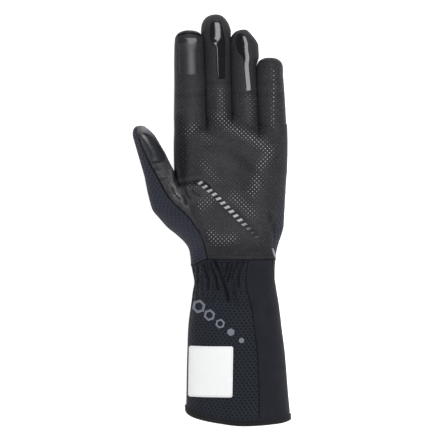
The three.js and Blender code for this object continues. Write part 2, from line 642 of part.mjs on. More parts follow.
/** Binding folded over the cuff's edge: a ring with a U section, open to the wrist. */
function hemBinding() {
  const outside = -(BINDING_GAP + BINDING_WALL);
  const inside = CUFF_WALL + BINDING_GAP + BINDING_WALL;
  const profile = [
    [outside, BINDING_HEIGHT],
    [outside, BINDING_WALL * 0.5],
    [outside + BINDING_WALL * 0.5, 0],
    [inside - BINDING_WALL * 0.5, 0],
    [inside, BINDING_WALL * 0.5],
    [inside, BINDING_HEIGHT],
    [CUFF_WALL + BINDING_GAP, BINDING_HEIGHT],
    [CUFF_WALL + BINDING_GAP, BINDING_WALL],
    [-BINDING_GAP, BINDING_WALL],
    [-BINDING_GAP, BINDING_HEIGHT],
  ];
  const position = [];
  for (let k = 0; k < BINDING_COLUMNS; k += 1) {
    const turn = (2 * Math.PI * k) / BINDING_COLUMNS;
    for (const [inset, rise] of profile) {
      const down = 1 - rise / CUFF_LENGTH;
      const [x, z] = cuffPoint(down, turn, inset);
      position.push(x, hemY(turn) + rise, z);
    }
  }
  const index = [];
  const sides = profile.length;
  for (let k = 0; k < BINDING_COLUMNS; k += 1) {
    const next = (k + 1) % BINDING_COLUMNS;
    for (let side = 0; side < sides; side += 1) {
      const other = (side + 1) % sides;
      const [a, b] = [k * sides + side, next * sides + side];
      const [d, c] = [k * sides + other, next * sides + other];
      index.push(a, c, b, a, d, c);
    }
  }
  const geometry = new THREE.BufferGeometry();
  geometry.setAttribute("position", new THREE.Float32BufferAttribute(position, 3));
  geometry.setIndex(index);
  geometry.computeVertexNormals();
  return geometry;
}

/** Blank label sewn flat on the cuff. */
function labelPatch() {
  const cloth = new Cloth();
  const rows = 5;
  const columns = 12;
  const middle = cuffY(LABEL_DOWN, 1, 0);
  cloth.grid(rows, columns, (row, column) => {
    const y = middle + LABEL_HEIGHT * (row / rows - 0.5);
    const down = 1 - y / CUFF_LENGTH;
    const half = mix(WRIST_WIDTH, CUFF_MOUTH_WIDTH, cuffRead(down, "flare")) / 2;
    const startX = 1 - Math.cos(Math.PI * LABEL_START);
    const endX = startX + LABEL_WIDTH / half;
    const start = Math.PI * LABEL_START;
    const end = Math.acos(clamp(1 - endX, -1, 1));
    const corner = row === 0 || row === rows ? 0.02 : 0;
    const turn = mix(start + corner, end - corner, column / columns);
    const [x, z] = cuffPoint(down, turn, -PATCH_GAP - PATCH_WALL);
    const [xi, zi] = cuffPoint(down, turn, -PATCH_GAP);
    return [[x, y, z], [xi, y, zi]];
  });
  return cloth.geometry();
}

/** Glossy patch over the front of a finger. */
function gripPatch({ finger, from, to, rows: edges }) {
  const cloth = new Cloth();
  const rows = 11;
  const columns = 6;
  const { length } = FINGERS[finger];
  const base = (crotchY(finger) + crotchY(finger + 1)) / 2;
  const high = domeStart(finger);
  cloth.grid(rows, columns, (row, column) => {
    const share = row / rows;
    const y = base + length * mix(from, to, share);
    const start = read(edges, "at", "start", share) * Math.PI;
    const end = read(edges, "at", "end", share) * Math.PI;
    const turn = mix(start, end, column / columns);
    return [-PATCH_GAP - PATCH_WALL, -PATCH_GAP].map((inset) => {
      const { rows: widths, tip } = FINGERS[finger];
      const reach = widths[widths.length - 1].half * PALM_WIDTH * tip;
      const dome = y <= high ? 0 : Math.asin(clamp((y - high) / (reach - inset), 0, 0.999) ** (1 / 0.84));
      return fingerPoint(finger, Math.min(y, high), dome, turn, 1, inset);
    });
  });
  return cloth.geometry();
}

/** Glossy oval patch on the thumb's leather. */
function thumbPatch() {
  const cloth = new Cloth();
  const rows = 8;
  const columns = 6;
  const first = THUMB_PATCH[0].rise;
  const last = THUMB_PATCH[THUMB_PATCH.length - 1].rise;
  const high = thumbDomeStart();
  cloth.grid(rows, columns, (row, column) => {
    const rise = mix(first, last, row / rows);
    const y = thumbCrotchY + THUMB_LENGTH * rise;
    const turn = mix(read(THUMB_PATCH, "rise", "start", rise), read(THUMB_PATCH, "rise", "end", rise),
      column / columns) * Math.PI;
    return [-PATCH_GAP - PATCH_WALL, -PATCH_GAP].map((inset) => {
      const reach = 0.09 * PALM_WIDTH * 1.1 - inset;
      const dome = y <= high ? 0 : Math.asin(clamp((y - high) / reach, 0, 0.999) ** (1 / 0.84));
      return thumbPoint(Math.min(y, high), dome, turn, 1, inset);
    });
  });
  return cloth.geometry();
}

/** Short pale trim laid slanting over the right end of the palm's heel. */
function sideTrim() {
  const cloth = new Cloth();
  const rows = 4;
  const columns = 2;
  const middle = CUFF_LENGTH + TRIM_UP * PALM_LENGTH;
  cloth.grid(rows, columns, (row, column) => {
    const along = row / rows - 0.5;
    const y = middle + TRIM_LENGTH * along;
    const right = palmRight(y);
    const x = right - 0.025 * PALM_WIDTH - TRIM_SLOPE * TRIM_LENGTH * along + TRIM_WIDTH * (column / columns - 0.5);
    return [PATCH_GAP + PATCH_WALL, PATCH_GAP].map((out) => {
      const z = sectionHeight(x, y, handLeft(y), right, 1, -out);
      return [x, y, seamHeight(y) + SEAM_GAP / 2 + z];
    });
  });
  return cloth.geometry();
}

const PIECES = [
  { name: "palm_panel", finish: "leather", make: () => handPanel(1) },
  { name: "back_panel", finish: "knit", make: () => handPanel(-1) },
  { name: "thumb_front", finish: "leather", make: thumbFront },
  { name: "thumb_back", finish: "knit", make: thumbBack },
  { name: "cuff_mesh", finish: "mesh", make: cuffMesh },
  { name: "cuff_side_panel", finish: "stretch", make: cuffSidePanel },
  { name: "hem_binding", finish: "binding", make: hemBinding },
  { name: "label_patch", finish: "label", make: labelPatch },
  ...GRIP_PATCHES.map((patch) => ({ name: patch.name, finish: "gloss", make: () => gripPatch(patch) })),
  { name: "grip_patch_thumb", finish: "gloss", make: thumbPatch },
  { name: "side_trim", finish: "trim", make: sideTrim },
];

/** The whole glove, set down with its origin under the middle of its box. */
function glove() {
  const group = new THREE.Group();
  group.name = "karting_glove";
  const box = new THREE.Box3();
  for (const { name, finish, make } of PIECES) {
    const material = new THREE.MeshStandardMaterial({ metalness: 0, ...FINISHES[finish] });
    const mesh = new THREE.Mesh(make(), material);
    mesh.name = name;
    mesh.geometry.computeBoundingBox();
    box.union(mesh.geometry.boundingBox);
    group.add(mesh);
  }
  const middle = box.getCenter(new THREE.Vector3());
  for (const mesh of group.children) mesh.geometry.translate(-middle.x, -middle.y, -box.min.z);
  return group;
}

export default glove();
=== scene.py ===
"""Visual model of a left-hand karting glove that lies on its back with the palm up."""

import logging
import math
from dataclasses import dataclass
from enum import Enum
from typing import Sequence

import bpy
import numpy as np
from mathutils import Matrix, Vector


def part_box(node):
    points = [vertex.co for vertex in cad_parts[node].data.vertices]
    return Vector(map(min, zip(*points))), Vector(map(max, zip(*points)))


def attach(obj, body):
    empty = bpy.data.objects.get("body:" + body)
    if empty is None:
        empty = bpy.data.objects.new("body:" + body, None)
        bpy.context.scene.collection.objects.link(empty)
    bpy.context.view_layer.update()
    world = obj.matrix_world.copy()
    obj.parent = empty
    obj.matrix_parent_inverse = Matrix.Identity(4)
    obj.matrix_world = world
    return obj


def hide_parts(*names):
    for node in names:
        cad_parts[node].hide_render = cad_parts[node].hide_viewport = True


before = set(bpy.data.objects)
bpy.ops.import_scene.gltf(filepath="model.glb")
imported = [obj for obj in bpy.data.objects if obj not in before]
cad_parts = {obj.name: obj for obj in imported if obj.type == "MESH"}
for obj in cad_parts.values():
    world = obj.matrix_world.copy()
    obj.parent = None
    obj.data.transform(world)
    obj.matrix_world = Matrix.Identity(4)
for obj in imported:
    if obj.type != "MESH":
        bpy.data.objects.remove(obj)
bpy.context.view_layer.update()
LOG = logging.getLogger("karting_glove")
MM = 0.001
Array = np.ndarray
Pair = tuple[Array, Array]
Spot = tuple[float, float]
Place = tuple[float, float, float]
Paint = tuple[float, float, float, float]
Socket = bpy.types.NodeSocket
Value = Socket | float
# The measured sheet: its column at x 0, its row at y 0, and the millimetres to a step.
SHEET_MIDDLE, SHEET_FOOT, SHEET_STEP = 230.0, 422.0, 0.78
# A rounded tip's outline: the power of the sine and cosine, and the angle at which it has closed.
DOME_POWER, DOME_TOP = 0.84, 1.57
# Steps to a millimetre; points that round to the same step are welded.
WELD_STEPS = 2000


class Side(Enum):
    """Which half of the hand a panel covers."""

    PALM = 1
    BACK = -1


def smooth(value: Array) -> Array:
    """Soft step from 0 to 1: three squares less two cubes of the value held between 0 and 1."""
    share = np.clip(value, 0.0, 1.0)
    return share * share * (3.0 - 2.0 * share)


def mix(low: Array, high: Array, share: Array) -> Array:
    """Value a share of the way from low to high."""
    return low + (high - low) * share


def arc(cosine: Array) -> Array:
    """Turn with a given cosine, held between -1 and 1."""
    return np.arccos(np.clip(cosine, -1, 1))


def crossed(phi: Array) -> Array:
    """Share across a lane at a turn: half of one less the turn's cosine."""
    return (1 - np.cos(phi)) / 2


def dome_width(dome: Array) -> Array:
    """Share of its width that a rounded tip has at an angle: a power of the cosine."""
    return np.where(dome > DOME_TOP, 0.0, np.abs(np.cos(dome)) ** DOME_POWER)


def dome_run(dome: Array) -> Array:
    """Share of its length that a rounded tip has run at an angle: a power of the sine."""
    return np.abs(np.sin(dome)) ** DOME_POWER


def dome_angle(run: Array) -> Array:
    """Angle at which a rounded tip has run a share of its length: dome_run turned round."""
    return np.arcsin(np.clip(run, 0, 0.999) ** (1 / DOME_POWER))


def distance_to(line: Sequence[Spot], x: Array, y: Array) -> Array:
    """Distance from places to a broken line: the least of the distances to its straight runs.

    Args:
        line: Points of the line.
        x: Across.
        y: Along.

    Returns:
        One distance for each place.
    """
    near = np.full(np.broadcast(x, y).shape, 1e9)
    ends = np.array(line, dtype=float)
    for start, stop in zip(ends[:-1], ends[1:]):
        run = stop - start
        share = np.clip(((x - start[0]) * run[0] + (y - start[1]) * run[1]) / (run @ run), 0, 1)
        near = np.minimum(near, np.hypot(x - start[0] - share * run[0], y - start[1] - share * run[1]))
    return near


class Table:
    """A short table with named columns that is read on smooth curves through its rows."""

    def __init__(self, names: str, rows: Sequence[Sequence[float]]) -> None:
        """Keeps the rows.

        Args:
            names: The columns' names, the place column first.
            rows: One row of numbers for each section.
        """
        self.names = names.split()
        self.rows = np.array(rows, dtype=float)

    def read(self, name: str, at: Array) -> Array:
        """Reads a column on a cubic curve whose slope at a row is the harmonic mean of its neighbours'.

        Args:
            name: The column.
            at: Places along the first column.

        Returns:
            One value for each place.
        """
        place, value = self.rows[:, 0], self.rows[:, self.names.index(name)]
        step = np.diff(value) / np.diff(place)
        before, after = step[:-1], step[1:]
        total = np.where(before * after > 0, before + after, 1.0)
        inner = np.where(before * after > 0, 2 * before * after / total, 0.0)
        slope = np.concatenate([step[:1], inner, step[-1:]])
        at = np.clip(np.asarray(at, dtype=float), place[0], place[-1])
        row = np.clip(np.searchsorted(place, at, side="right") - 1, 0, len(place) - 2)
        span = place[row + 1] - place[row]
        t = (at - place[row]) / span
        rest = 1 - t
        return (
            value[row] * rest**2 * (1 + 2 * t)
            + value[row + 1] * t**2 * (3 - 2 * t)
            + slope[row] * span * t * rest**2
            - slope[row + 1] * span * t**2 * rest
        )


PALM_SIDES = Table("up right border under wrap wrist", [
    (0.0, 0.4018, -0.2054, -0.2054, 0.0232, 1),
    (0.059, 0.4286, -0.217, -0.2411, 0.0339, 0.7),
    (0.114, 0.4464, -0.2348, -0.2723, 0.0464, 0.4),
    (0.17, 0.4607, -0.2634, -0.3036, 0.0589, 0.15),
    (0.225, 0.4696, -0.292, -0.3348, 0.0652, 0),
    (0.28, 0.4732, -0.3232, -0.3661, 0.0652, 0),
    (0.349, 0.4786, -0.3607, -0.4018, 0.0554, 0),
    (0.405, 0.4821, -0.3929, -0.4286, 0.0268, 0),
    (0.446, 0.4857, -0.4196, -0.4464, 0.0071, 0),
    (0.488, 0.4884, -0.4464, -0.4643, 0, 0),
    (0.557, 0.4946, -0.4821, -0.4866, 0, 0),
    (0.606, 0.5, -0.5, -0.5, 0, 0),
    (0.779, 0.5054, -0.5045, -0.5045, 0, 0),
    (0.889, 0.5036, -0.5009, -0.5009, 0, 0),
    (1.0, 0.4938, -0.5045, -0.5045, 0, 0),
])
PALM_HEIGHTS = Table("up front back wrist", [
    (0.0, 0.85, 1.0, 1), (0.2, 0.97, 1.0, 0), (0.5, 1.0, 1.0, 0), (0.75, 0.86, 0.98, 0), (1.0, 0.66, 0.82, 0),
])
THUMB_SIDES = Table("rise left seam right wrist", [
    (-1.0, -0.3545, -0.2054, -0.2054, 1),
    (-0.903, -0.3839, -0.217, -0.217, 0.7),
    (-0.811, -0.4464, -0.2375, -0.2348, 0.4),
    (-0.72, -0.5089, -0.2714, -0.2634, 0.15),
    (-0.629, -0.5714, -0.3089, -0.292, 0),
    (-0.537, -0.6339, -0.3589, -0.3232, 0),
    (-0.446, -0.6911, -0.433, -0.3607, 0),
    (-0.354, -0.7143, -0.5107, -0.3929, 0),
    (-0.263, -0.7321, -0.5679, -0.4196, 0),
    (-0.171, -0.7473, -0.6071, -0.4464, 0),
    (-0.08, -0.7607, -0.6429, -0.4821, 0),
    (0.0, -0.7768, -0.6786, -0.5, 0),
    (0.209, -0.8009, -0.7196, -0.542, 0),
    (0.395, -0.8214, -0.7536, -0.575, 0),
    (0.581, -0.8411, -0.7857, -0.6161, 0),
    (0.721, -0.8571, -0.803, -0.6473, 0),
    (0.814, -0.8696, -0.82, -0.6696, 0),
    (1.0, -0.9018, -0.84, -0.7054, 0),
])
CUFF_SECTIONS = Table("down centre flare deep gather seam back_seam", [
    (0.0, 0.0253, 0.18, 0, 0.3, 0.614, 0.88),
    (0.046, 0.0285, 0.08, 0.02, 0.8, 0.604, 0.9),
    (0.119, 0.038, 0.0, 0.04, 1.0, 0.588, 0.94),
    (0.193, 0.035, 0.132, 0.15, 0.85, 0.6, 1.0),
    (0.291, 0.038, 0.32, 0.3, 0.35, 0.622, 1.0),
    (0.388, 0.038, 0.48, 0.45, 0.15, 0.635, 1.0),
    (0.584, 0.05, 0.7, 0.7, 0.05, 0.645, 1.0),
    (0.878, 0.0643, 0.9, 0.9, 0.0, 0.638, 1.0),
    (1.0, 0.0715, 1.0, 1.0, 0.0, 0.63, 1.0),
])
HEM_LINE = Table("around rise", [
    (0, 0.085), (0.16, 0.05), (0.36, 0.018), (0.53, 0), (0.75, 0.01), (1, 0.032),
])


@dataclass(frozen=True)
class Finger:
    """One finger, with its outline from the crotch to the tip.

    Its lane is a share of the palm's width, its dips are the crotches at its two sides as shares of the
    palm's length, its tip is the rounded end's length over its half width, and its pinch draws the far
    side of that end in, in millimetres.
    """

    name: str
    length: float
    lane: float
    dips: Spot
    tip: float
    rows: Table
    pinch: float = 0.0


ALONG = "along centre half"
FINGERS = (
    Finger("index", 68.2, 0.285, (-0.0415, -0.0415), 0.8, Table(ALONG, [
        (0.0, -0.3616, 0.142), (0.343, -0.3634, 0.1366), (0.709, -0.3696, 0.1304),
        (0.846, -0.371, 0.1263), (1.0, -0.3589, 0.1196),
    ])),
    Finger("middle", 78.5, 0.229, (-0.0415, 0.0), 1.15, Table(ALONG, [
        (0.0, -0.1054, 0.1143), (0.268, -0.1107, 0.1156), (0.567, -0.1183, 0.1156),
        (0.716, -0.121, 0.1201), (0.795, -0.1299, 0.1272), (1.0, -0.1304, 0.1295),
    ]), pinch=1.4),
    Finger("ring", 68.6, 0.232, (0.0, -0.083), 1.1, Table(ALONG, [
        (0.0, 0.125, 0.1161), (0.341, 0.1179, 0.1134), (0.591, 0.1125, 0.1107),
        (0.705, 0.1235, 0.122), (0.795, 0.1196, 0.1225), (1.0, 0.1161, 0.1179),
    ]), pinch=3.4),
    Finger("little", 51.9, 0.254, (-0.083, -0.083), 0.85, Table(ALONG, [
        (0.0, 0.3679, 0.1268), (0.3, 0.3607, 0.1241), (0.541, 0.3536, 0.1214),
        (0.781, 0.3473, 0.117), (1.0, 0.3473, 0.1125),
    ])),
)


@dataclass(frozen=True)
class Crease:
    """A fold along a short line: its points in millimetres, its depth and its half width.

    Its banks stand a share of the depth high, at so many half widths from the line.
    """

    line: tuple[Spot, ...]
    depth: float
    width: float
    shoulder: float = 0.35
    bank_place: float = 2.1

    def add(self, x: Array, y: Array) -> Array:
        """Height that the fold adds: a trough that falls off with the squared distance, and two low banks.

        Args:
            x: Places across the glove.
            y: Places along the glove.

        Returns:
            Height in millimetres at each place.
        """
        near = distance_to(self.line, x, y)
        trough = np.exp(-((near / self.width) ** 2))
        bank = np.exp(-(((near - self.bank_place * self.width) / self.width) ** 2))
        return self.depth * (self.shoulder * bank - trough)


@dataclass(frozen=True)
class Mound:
    """A soft swelling or dent: centre, half sizes and turn, with a height in millimetres."""

    x: float
    y: float
    wide: float
    long: float
    height: float
    turn: float = 0.0

    def add(self, x: Array, y: Array) -> Array:
        """Height of a bell over a turned ellipse at each place."""
        angle = math.radians(self.turn)
        across = (x - self.x) * math.cos(angle) + (y - self.y) * math.sin(angle)
        along = (y - self.y) * math.cos(angle) - (x - self.x) * math.sin(angle)
        return self.height * np.exp(-((across / self.wide) ** 2) - (along / self.long) ** 2)


def added(parts: Sequence[Crease | Mound], x: Array, y: Array) -> Array:
    """Height that creases and mounds add at plan points, one after the other."""
    return sum((part.add(x, y) for part in parts), np.zeros(np.broadcast(x, y).shape))


# Bells of the thenar, the hypothenar and the hollow: share across, share along, half width and half length.
PALM_BELLS = ((-0.27, 0.28, 0.22, 0.24), (0.3, 0.35, 0.16, 0.28), (0.02, 0.56, 0.2, 0.22))


@dataclass
class HandForm:
    """Outer form of the hand and thumb, the same surfaces that the solids are cut from, in millimetres."""

    palm_width: float = 87.4
    palm_length: float = 112.7
    palm_front: float = 18.0
    palm_back: float = 16.0
    flattening: float = 1.0
    roundness: float = 2.3
    web_depth: float = 12.0
    crotch_step: float = 2.0
    slit: float = 0.8
    finger_depth: float = 19.0
    curl: float = 7.0
    thumb_length: float = 33.5
    thumb_depth: float = 20.5
    thumb_lift: float = 9.0
    thumb_web: float = 22.0
    thumb_crotch_up: float = 0.606
    thumb_tip: float = 0.099
    thumb_stretch: float = 1.1
    thumb_lean: float = 2.6
    thumb_pinch: float = 2.4
    thenar: float = 6.5
    hypothenar: float = 2.5
    hollow: float = 4.0
    heel_fade: float = 0.12
    root_fade: float = 0.15
    fold_fade: float = 6.0
    fold_paint_gain: float = 0.8
    fold_paint_limit: float = 0.7
    cuff_length: float = 127.5
    wrist_centre: float = 2.037
    wrist_half: float = 32.83
    wrist_front: float = 14.5
    wrist_back: float = 15.5
    wrist_drop: float = 4.5
    drop_from: float = 0.62
    drop_run: float = 0.38
    gap: float = 0.02
    creases: tuple[Crease, ...] = ()
    mounds: tuple[Mound, ...] = ()
    painted_spots: tuple[Mound, ...] = ()

    def up(self, y: Array) -> Array:
        """Share of the way from the palm's hem to the highest crotch."""
        return (y - self.cuff_length) / self.palm_length

    @property
    def thumb_crotch(self) -> float:
        """Height of the thumb's crotch."""
        return self.cuff_length + self.thumb_crotch_up * self.palm_length

    def rise(self, y: Array) -> Array:
        """Share up the thumb, from -1 at the hem past 0 at the crotch to 1 at the tip."""
        over = y - self.thumb_crotch
        return np.where(over > 0, over / self.thumb_length, over / (self.thumb_crotch_up * self.palm_length))

    def wrist_share(self, y: Array) -> Array:
        """How much a section follows the cuff's, only under the thumb's crotch."""
        return np.where(y > self.thumb_crotch, 0.0, PALM_SIDES.read("wrist", self.up(y)))

    def palm_side(self, y: Array, name: str) -> Array:
        """A column of the palm's table as a length."""
        return PALM_SIDES.read(name, self.up(y)) * self.palm_width

    def thumb_side(self, y: Array, name: str) -> Array:
        """A column of the thumb's table as a length."""
        return THUMB_SIDES.read(name, self.rise(y)) * self.palm_width

    def right(self, y: Array) -> Array:
        """Right side of the hand."""
        return mix(self.palm_side(y, "right"), self.wrist_centre + self.wrist_half, self.wrist_share(y))

    def left(self, y: Array) -> Array:
        """Left side of the hand with the thumb's root."""
        return mix(self.thumb_side(y, "left"), self.wrist_centre - self.wrist_half, self.wrist_share(y))

    def border(self, y: Array, side: Side) -> Array:
        """Left edge of the palm leather, or of the back under it."""
        return self.palm_side(y, "border" if side is Side.PALM else "under") + self.gap / 2

    def tall(self, y: Array, over: Array) -> Array:
        """Signed height of the section over the seam plane, or depth under it."""
        place = self.up(y)
        share = PALM_HEIGHTS.read("wrist", place)
        front = mix(PALM_HEIGHTS.read("front", place) * self.palm_front, self.wrist_front, share)
        back = mix(PALM_HEIGHTS.read("back", place) * self.palm_back, self.wrist_back, share)
        return np.where(over > 0, front, -back)

    def seam_height(self, y: Array) -> Array:
        """Height of the seam plane over the floor."""
        return -self.tall(y, np.array(-1.0)) - self.flattening

    def join(self, y: Array) -> Array:
        """How much the thumb's root has grown into the hand."""
        return smooth((self.thumb_crotch - y) / self.thumb_web)

    def relief(self, x: Array, y: Array) -> Array:
        """Soft hills and the hollow of the palm: three bells on shares of its width and length."""
        along, across = self.up(y), x / self.palm_width
        heights = (self.thenar, self.hypothenar, -self.hollow)
        return sum(
            height * np.exp(-(((across - cx) / wide) ** 2) - ((along - cy) / long) ** 2)
            for height, (cx, cy, wide, long) in zip(heights, PALM_BELLS)
        )

    def folds(self, x: Array, y: Array) -> Array:
        """Height that the cloth's folds and swellings add on the palm's side."""
        return added((*self.creases, *self.mounds), x, y)

    def painted_light_and_shade(self, x: Array, y: Array) -> Array:
        """Painted light and shade for the leather: painted highlights on its folds' banks and painted shade
        in their troughs, held within a limit, plus the spots of painted light and shade.
        """
        folded = self.fold_paint_gain * sum(fold.add(x, y) for fold in self.creases)
        spot_paint = sum(shade.add(x, y) for shade in self.painted_spots)
        return np.clip(folded, -self.fold_paint_limit, self.fold_paint_limit) + spot_paint

    def section(self, x: Array, y: Array, left: Array, right: Array, over: Array, inset: float) -> Array:
        """Height of a rounded section over the seam plane.

        A superellipse between the two sides, and over the palm the hills and the hollow on top.

        Args:
            x: Across.
            y: Along.
            left: The section's left side.
            right: The section's right side.
            over: Above 0 on the palm, below 0 on the back.
            inset: Depth under the skin.

        Returns:
            Height over the seam plane.
        """
        centre, half = (left + right) / 2, (right - left) / 2
        share = np.clip(np.abs((x - centre) / (half - inset)), 0, 1)
        bow = (1 - share**self.roundness) ** (1 / self.roundness)
        window = 1 - np.clip(np.abs((x - centre) / half), 0, 1) ** 4
        ends = smooth(self.up(y) / self.heel_fade) * smooth((1 - self.up(y)) / self.root_fade)
        tall = self.tall(y, over)
        hills = np.where(over > 0, self.relief(x, y) * window * ends, 0.0)
        return (tall - np.sign(tall) * inset) * bow + hills

    def crotch(self, k: int) -> float:
        """Crotch line at a lane's side, from 0 at the thumb to 4 at the little finger."""
        dip = FINGERS[k].dips[0] if k < 4 else FINGERS[3].dips[1]
        return self.cuff_length + self.palm_length * (1 + dip)

    def lane_start(self, finger: int) -> float:
        """Where a finger's lane begins, as a share of the palm's width."""
        return sum(one.lane for one in FINGERS[:finger])

    def palm(self, y: Array, finger: int, phi: Array, side: Side, inset: float) -> Array:
        """Points of the palm or back: along the hand at y and turned by phi round a finger's lane.

        Across the lane a point goes with the cosine of its turn. Its height is a lobe of the finger's depth
        near the crotch line and the hand's rounded section further down.

        Args:
            y: Along.
            finger: The lane.
            phi: Turns, 0 at the lane's left side, half a turn at its right.
            side: Palm or back.
            inset: Depth under the skin.

        Returns:
            Points.
        """
        across = crossed(phi)
        high = mix(self.crotch(finger), self.crotch(finger + 1), across) - inset
        y = y + 0 * phi
        join = self.join(y)
        lane = FINGERS[finger].lane
        start = self.lane_start(finger)
        left = self.border(y, side) + inset * (1 - join)
        right = self.right(y) - inset
        x = mix(left, right, start + lane * across)
        rounded = np.where(np.abs(np.sin(phi)) < 1e-6, float(side.value), np.sign(np.sin(phi)))
        digit = (self.finger_depth / 2 - inset) * np.sin(phi)
        alone = self.section(x, y, self.border(y, side), self.right(y), rounded, inset)
        whole = self.section(x, y, self.left(y), self.right(y), rounded, inset)
        web = smooth((high - y) / self.web_depth)
        z = self.seam_height(y) + side.value * self.gap / 2 + mix(digit, mix(alone, whole, join), web)
        if side is Side.PALM:
            clear = np.clip(3 * np.abs(np.sin(phi)) + web, 0, 1)
            z = z + self.folds(x, y) * clear * smooth((self.right(y) - x) / self.fold_fade)
        return np.stack([x, y, np.maximum(z, inset)], axis=-1)

    def finger_base(self, finger: int) -> float:
        """Height at which a finger's table begins."""
        return (self.crotch(finger) + self.crotch(finger + 1)) / 2

    def dome_start(self, finger: int) -> float:
        """Height at which a finger's rounded tip starts."""
        one = FINGERS[finger]
        return self.finger_base(finger) + one.length - one.rows.rows[-1, 2] * self.palm_width * one.tip

    def finger(self, finger: int, y: Array, dome: Array, phi: Array, side: Side, inset: float) -> Array:
        """Points of a finger: an ellipse whose centre line and width come from its table, curled upwards.

        Over the rounded tip the ellipse shrinks as dome_width says, and its far side is pinched in.

        Args:
            finger: Which finger.
            y: Places along, before the dome.
            dome: Angle over the rounded tip, 0 below it.
            phi: Turns round the finger from its left side.
            side: Palm or back.
            inset: Depth under the skin, below 0 over it.

        Returns:
            Points.
        """
        one = FINGERS[finger]
        along = np.clip((y - self.finger_base(finger)) / one.length, 0, 1)
        outside = -1 if finger == 0 else int(finger == 3)
        centre = one.rows.read("centre", along) * self.palm_width + outside * self.slit / 4
        half = one.rows.read("half", along) * self.palm_width + abs(outside) * self.slit / 4
        shrink = dome_width(dome)
        wide = np.maximum(0.0, half - self.slit / 2 - inset) * shrink
        deep = (self.finger_depth / 2 - inset) * shrink
        reach = (half * one.tip - inset) * dome_run(dome)
        lift = self.curl * ((y + reach - self.finger_base(finger)) / one.length) ** 2
        x = centre - wide * np.cos(phi) - one.pinch * np.sin(2 * dome) * crossed(phi)
        root = mix(self.crotch(finger), self.crotch(finger + 1), crossed(phi))
        z = self.seam_height(root) + lift + side.value * self.gap / 2 + deep * np.sin(phi)
        if side is Side.PALM:
            z = z + self.folds(x, y + reach) * np.clip(np.sin(phi), 0, 1)
        y = y + reach + 0 * phi
        return np.stack([x, y, np.maximum(z, inset)], axis=-1)

    def thumb_span(self, y: Array, over: Array) -> Pair:
        """Left and right sides of the thumb, or of its root below the crotch."""
        under = np.where(over > 0, self.border(y, Side.PALM), self.border(y, Side.BACK)) - self.gap
        return self.left(y), np.where(y > self.thumb_crotch, self.thumb_side(y, "right"), under)

    def thumb_dome(self) -> float:
        """Height at which the thumb's rounded tip starts."""
        return self.thumb_crotch + self.thumb_length - self.thumb_tip * self.palm_width

    @property
    def thumb_reach(self) -> float:
        """Length of the thumb's rounded tip."""
        return self.thumb_tip * self.palm_width + self.thumb_stretch

    def thumb_height(self, x: Array, y: Array) -> Array:
        """Height of the thumb's palm side over plan points below its rounded tip."""
        left, right = self.thumb_span(y, np.array(1.0))
        turn = arc(((left + right) / 2 - x) / ((right - left) / 2))
        return self.thumb(y, np.zeros(1), turn, Side.PALM, 0.0)[..., 2]

    def thumb(self, y: Array, dome: Array, phi: Array, side: Side, inset: float) -> Array:
        """Points of the thumb: an ellipse between its two sides that grows into the hand's section below.

        Its rounded tip leans to the left, and its right side is pinched in there.

        Args:
            y: Places along, before the dome.
            dome: Angle over the rounded tip, 0 below it.
            phi: Turns round the thumb from its left side, below 0 on the back.
            side: Palm or back.
            inset: Depth under the skin.

        Returns:
            Points.
        """
        y = y + 0 * phi
        over = np.where(phi >= 0, 1.0, -1.0)
        left, right = self.thumb_span(y, over)
        join = self.join(y)
        shrink = dome_width(dome)
        centre = (left + right + inset * join) / 2
        half = np.maximum(0.2, (right - left) / 2 - inset * (1 - join / 2)) * shrink
        x = centre - half * np.cos(phi) - self.thumb_lean * np.sin(dome)
        x = x - self.thumb_pinch * np.sin(2 * dome) * crossed(phi)
        reach = (self.thumb_reach - inset) * dome_run(dome)
        lift = self.thumb_lift * smooth((y - self.thumb_crotch) / self.thumb_length)
        free = (self.thumb_depth / 2 - inset) * shrink * np.sin(phi)
        whole = self.section(x, y, self.left(y), self.right(y), over, inset)
        z = self.seam_height(np.minimum(y, self.thumb_crotch)) + lift + side.value * self.gap / 2
        z = z + mix(free, whole, join)
        clear = np.clip(2 * np.sin(np.clip(phi, 0, math.pi)) + join * (x > centre), 0, 1)
        z = z + np.where(over > 0, self.folds(x, y + reach) * clear, 0.0)
        return np.stack([x, y + reach, np.maximum(z, inset)], axis=-1)

    def thumb_seam(self, y: Array) -> Array:
        """Turn of the seam between the thumb's leather and its knit: the arc cosine of its place across."""
        left, right = self.thumb_span(y, np.array(1.0))
        wide = np.minimum(self.thumb_side(y, "seam"), right) - left
        return arc(1 - 2 * np.maximum(0.0, wide) / (right - left))

    def wrist_point(self, turn: Array) -> Array:
        """How far the wrist seam drops at the thumb's side."""
        return self.wrist_drop * smooth((np.cos(turn) - self.drop_from) / self.drop_run)

    def palm_height(self, x: Array, y: Array) -> Array:
        """Height of the palm's side over plan points, not a number off the hand.

        The point's share across its lane or finger gives its turn, and the turn gives the height.

        Args:
            x: Across.
            y: Along.

        Returns:
            Height of the skin.
        """
        x, y = np.broadcast_arrays(np.asarray(x, float), np.asarray(y, float))
        height = np.full(x.shape, np.nan)
        share = (x - self.border(y, Side.PALM)) / (self.right(y) - self.border(y, Side.PALM))
        for k, one in enumerate(FINGERS):
            across = (share - self.lane_start(k)) / one.lane
            phi = arc(1 - 2 * across)
            high = mix(self.crotch(k), self.crotch(k + 1), np.clip(across, 0, 1))
            low = self.palm(y, k, phi, Side.PALM, 0.0)[..., 2]
            height = np.where((across >= 0) & (across <= 1) & (y <= high), low, height)
            along = np.clip((y - self.finger_base(k)) / one.length, 0, 1)
            centre = one.rows.read("centre", along) * self.palm_width
            wide = one.rows.read("half", along) * self.palm_width - self.slit / 2
            phi = arc((centre - x) / wide)
            tall = self.finger(k, y, np.zeros(x.shape), phi, Side.PALM, 0.0)[..., 2]
            inside = (y > high) & (y <= self.dome_start(k)) & (np.abs(x - centre) < wide)
            height = np.where(inside, tall, height)
        return height


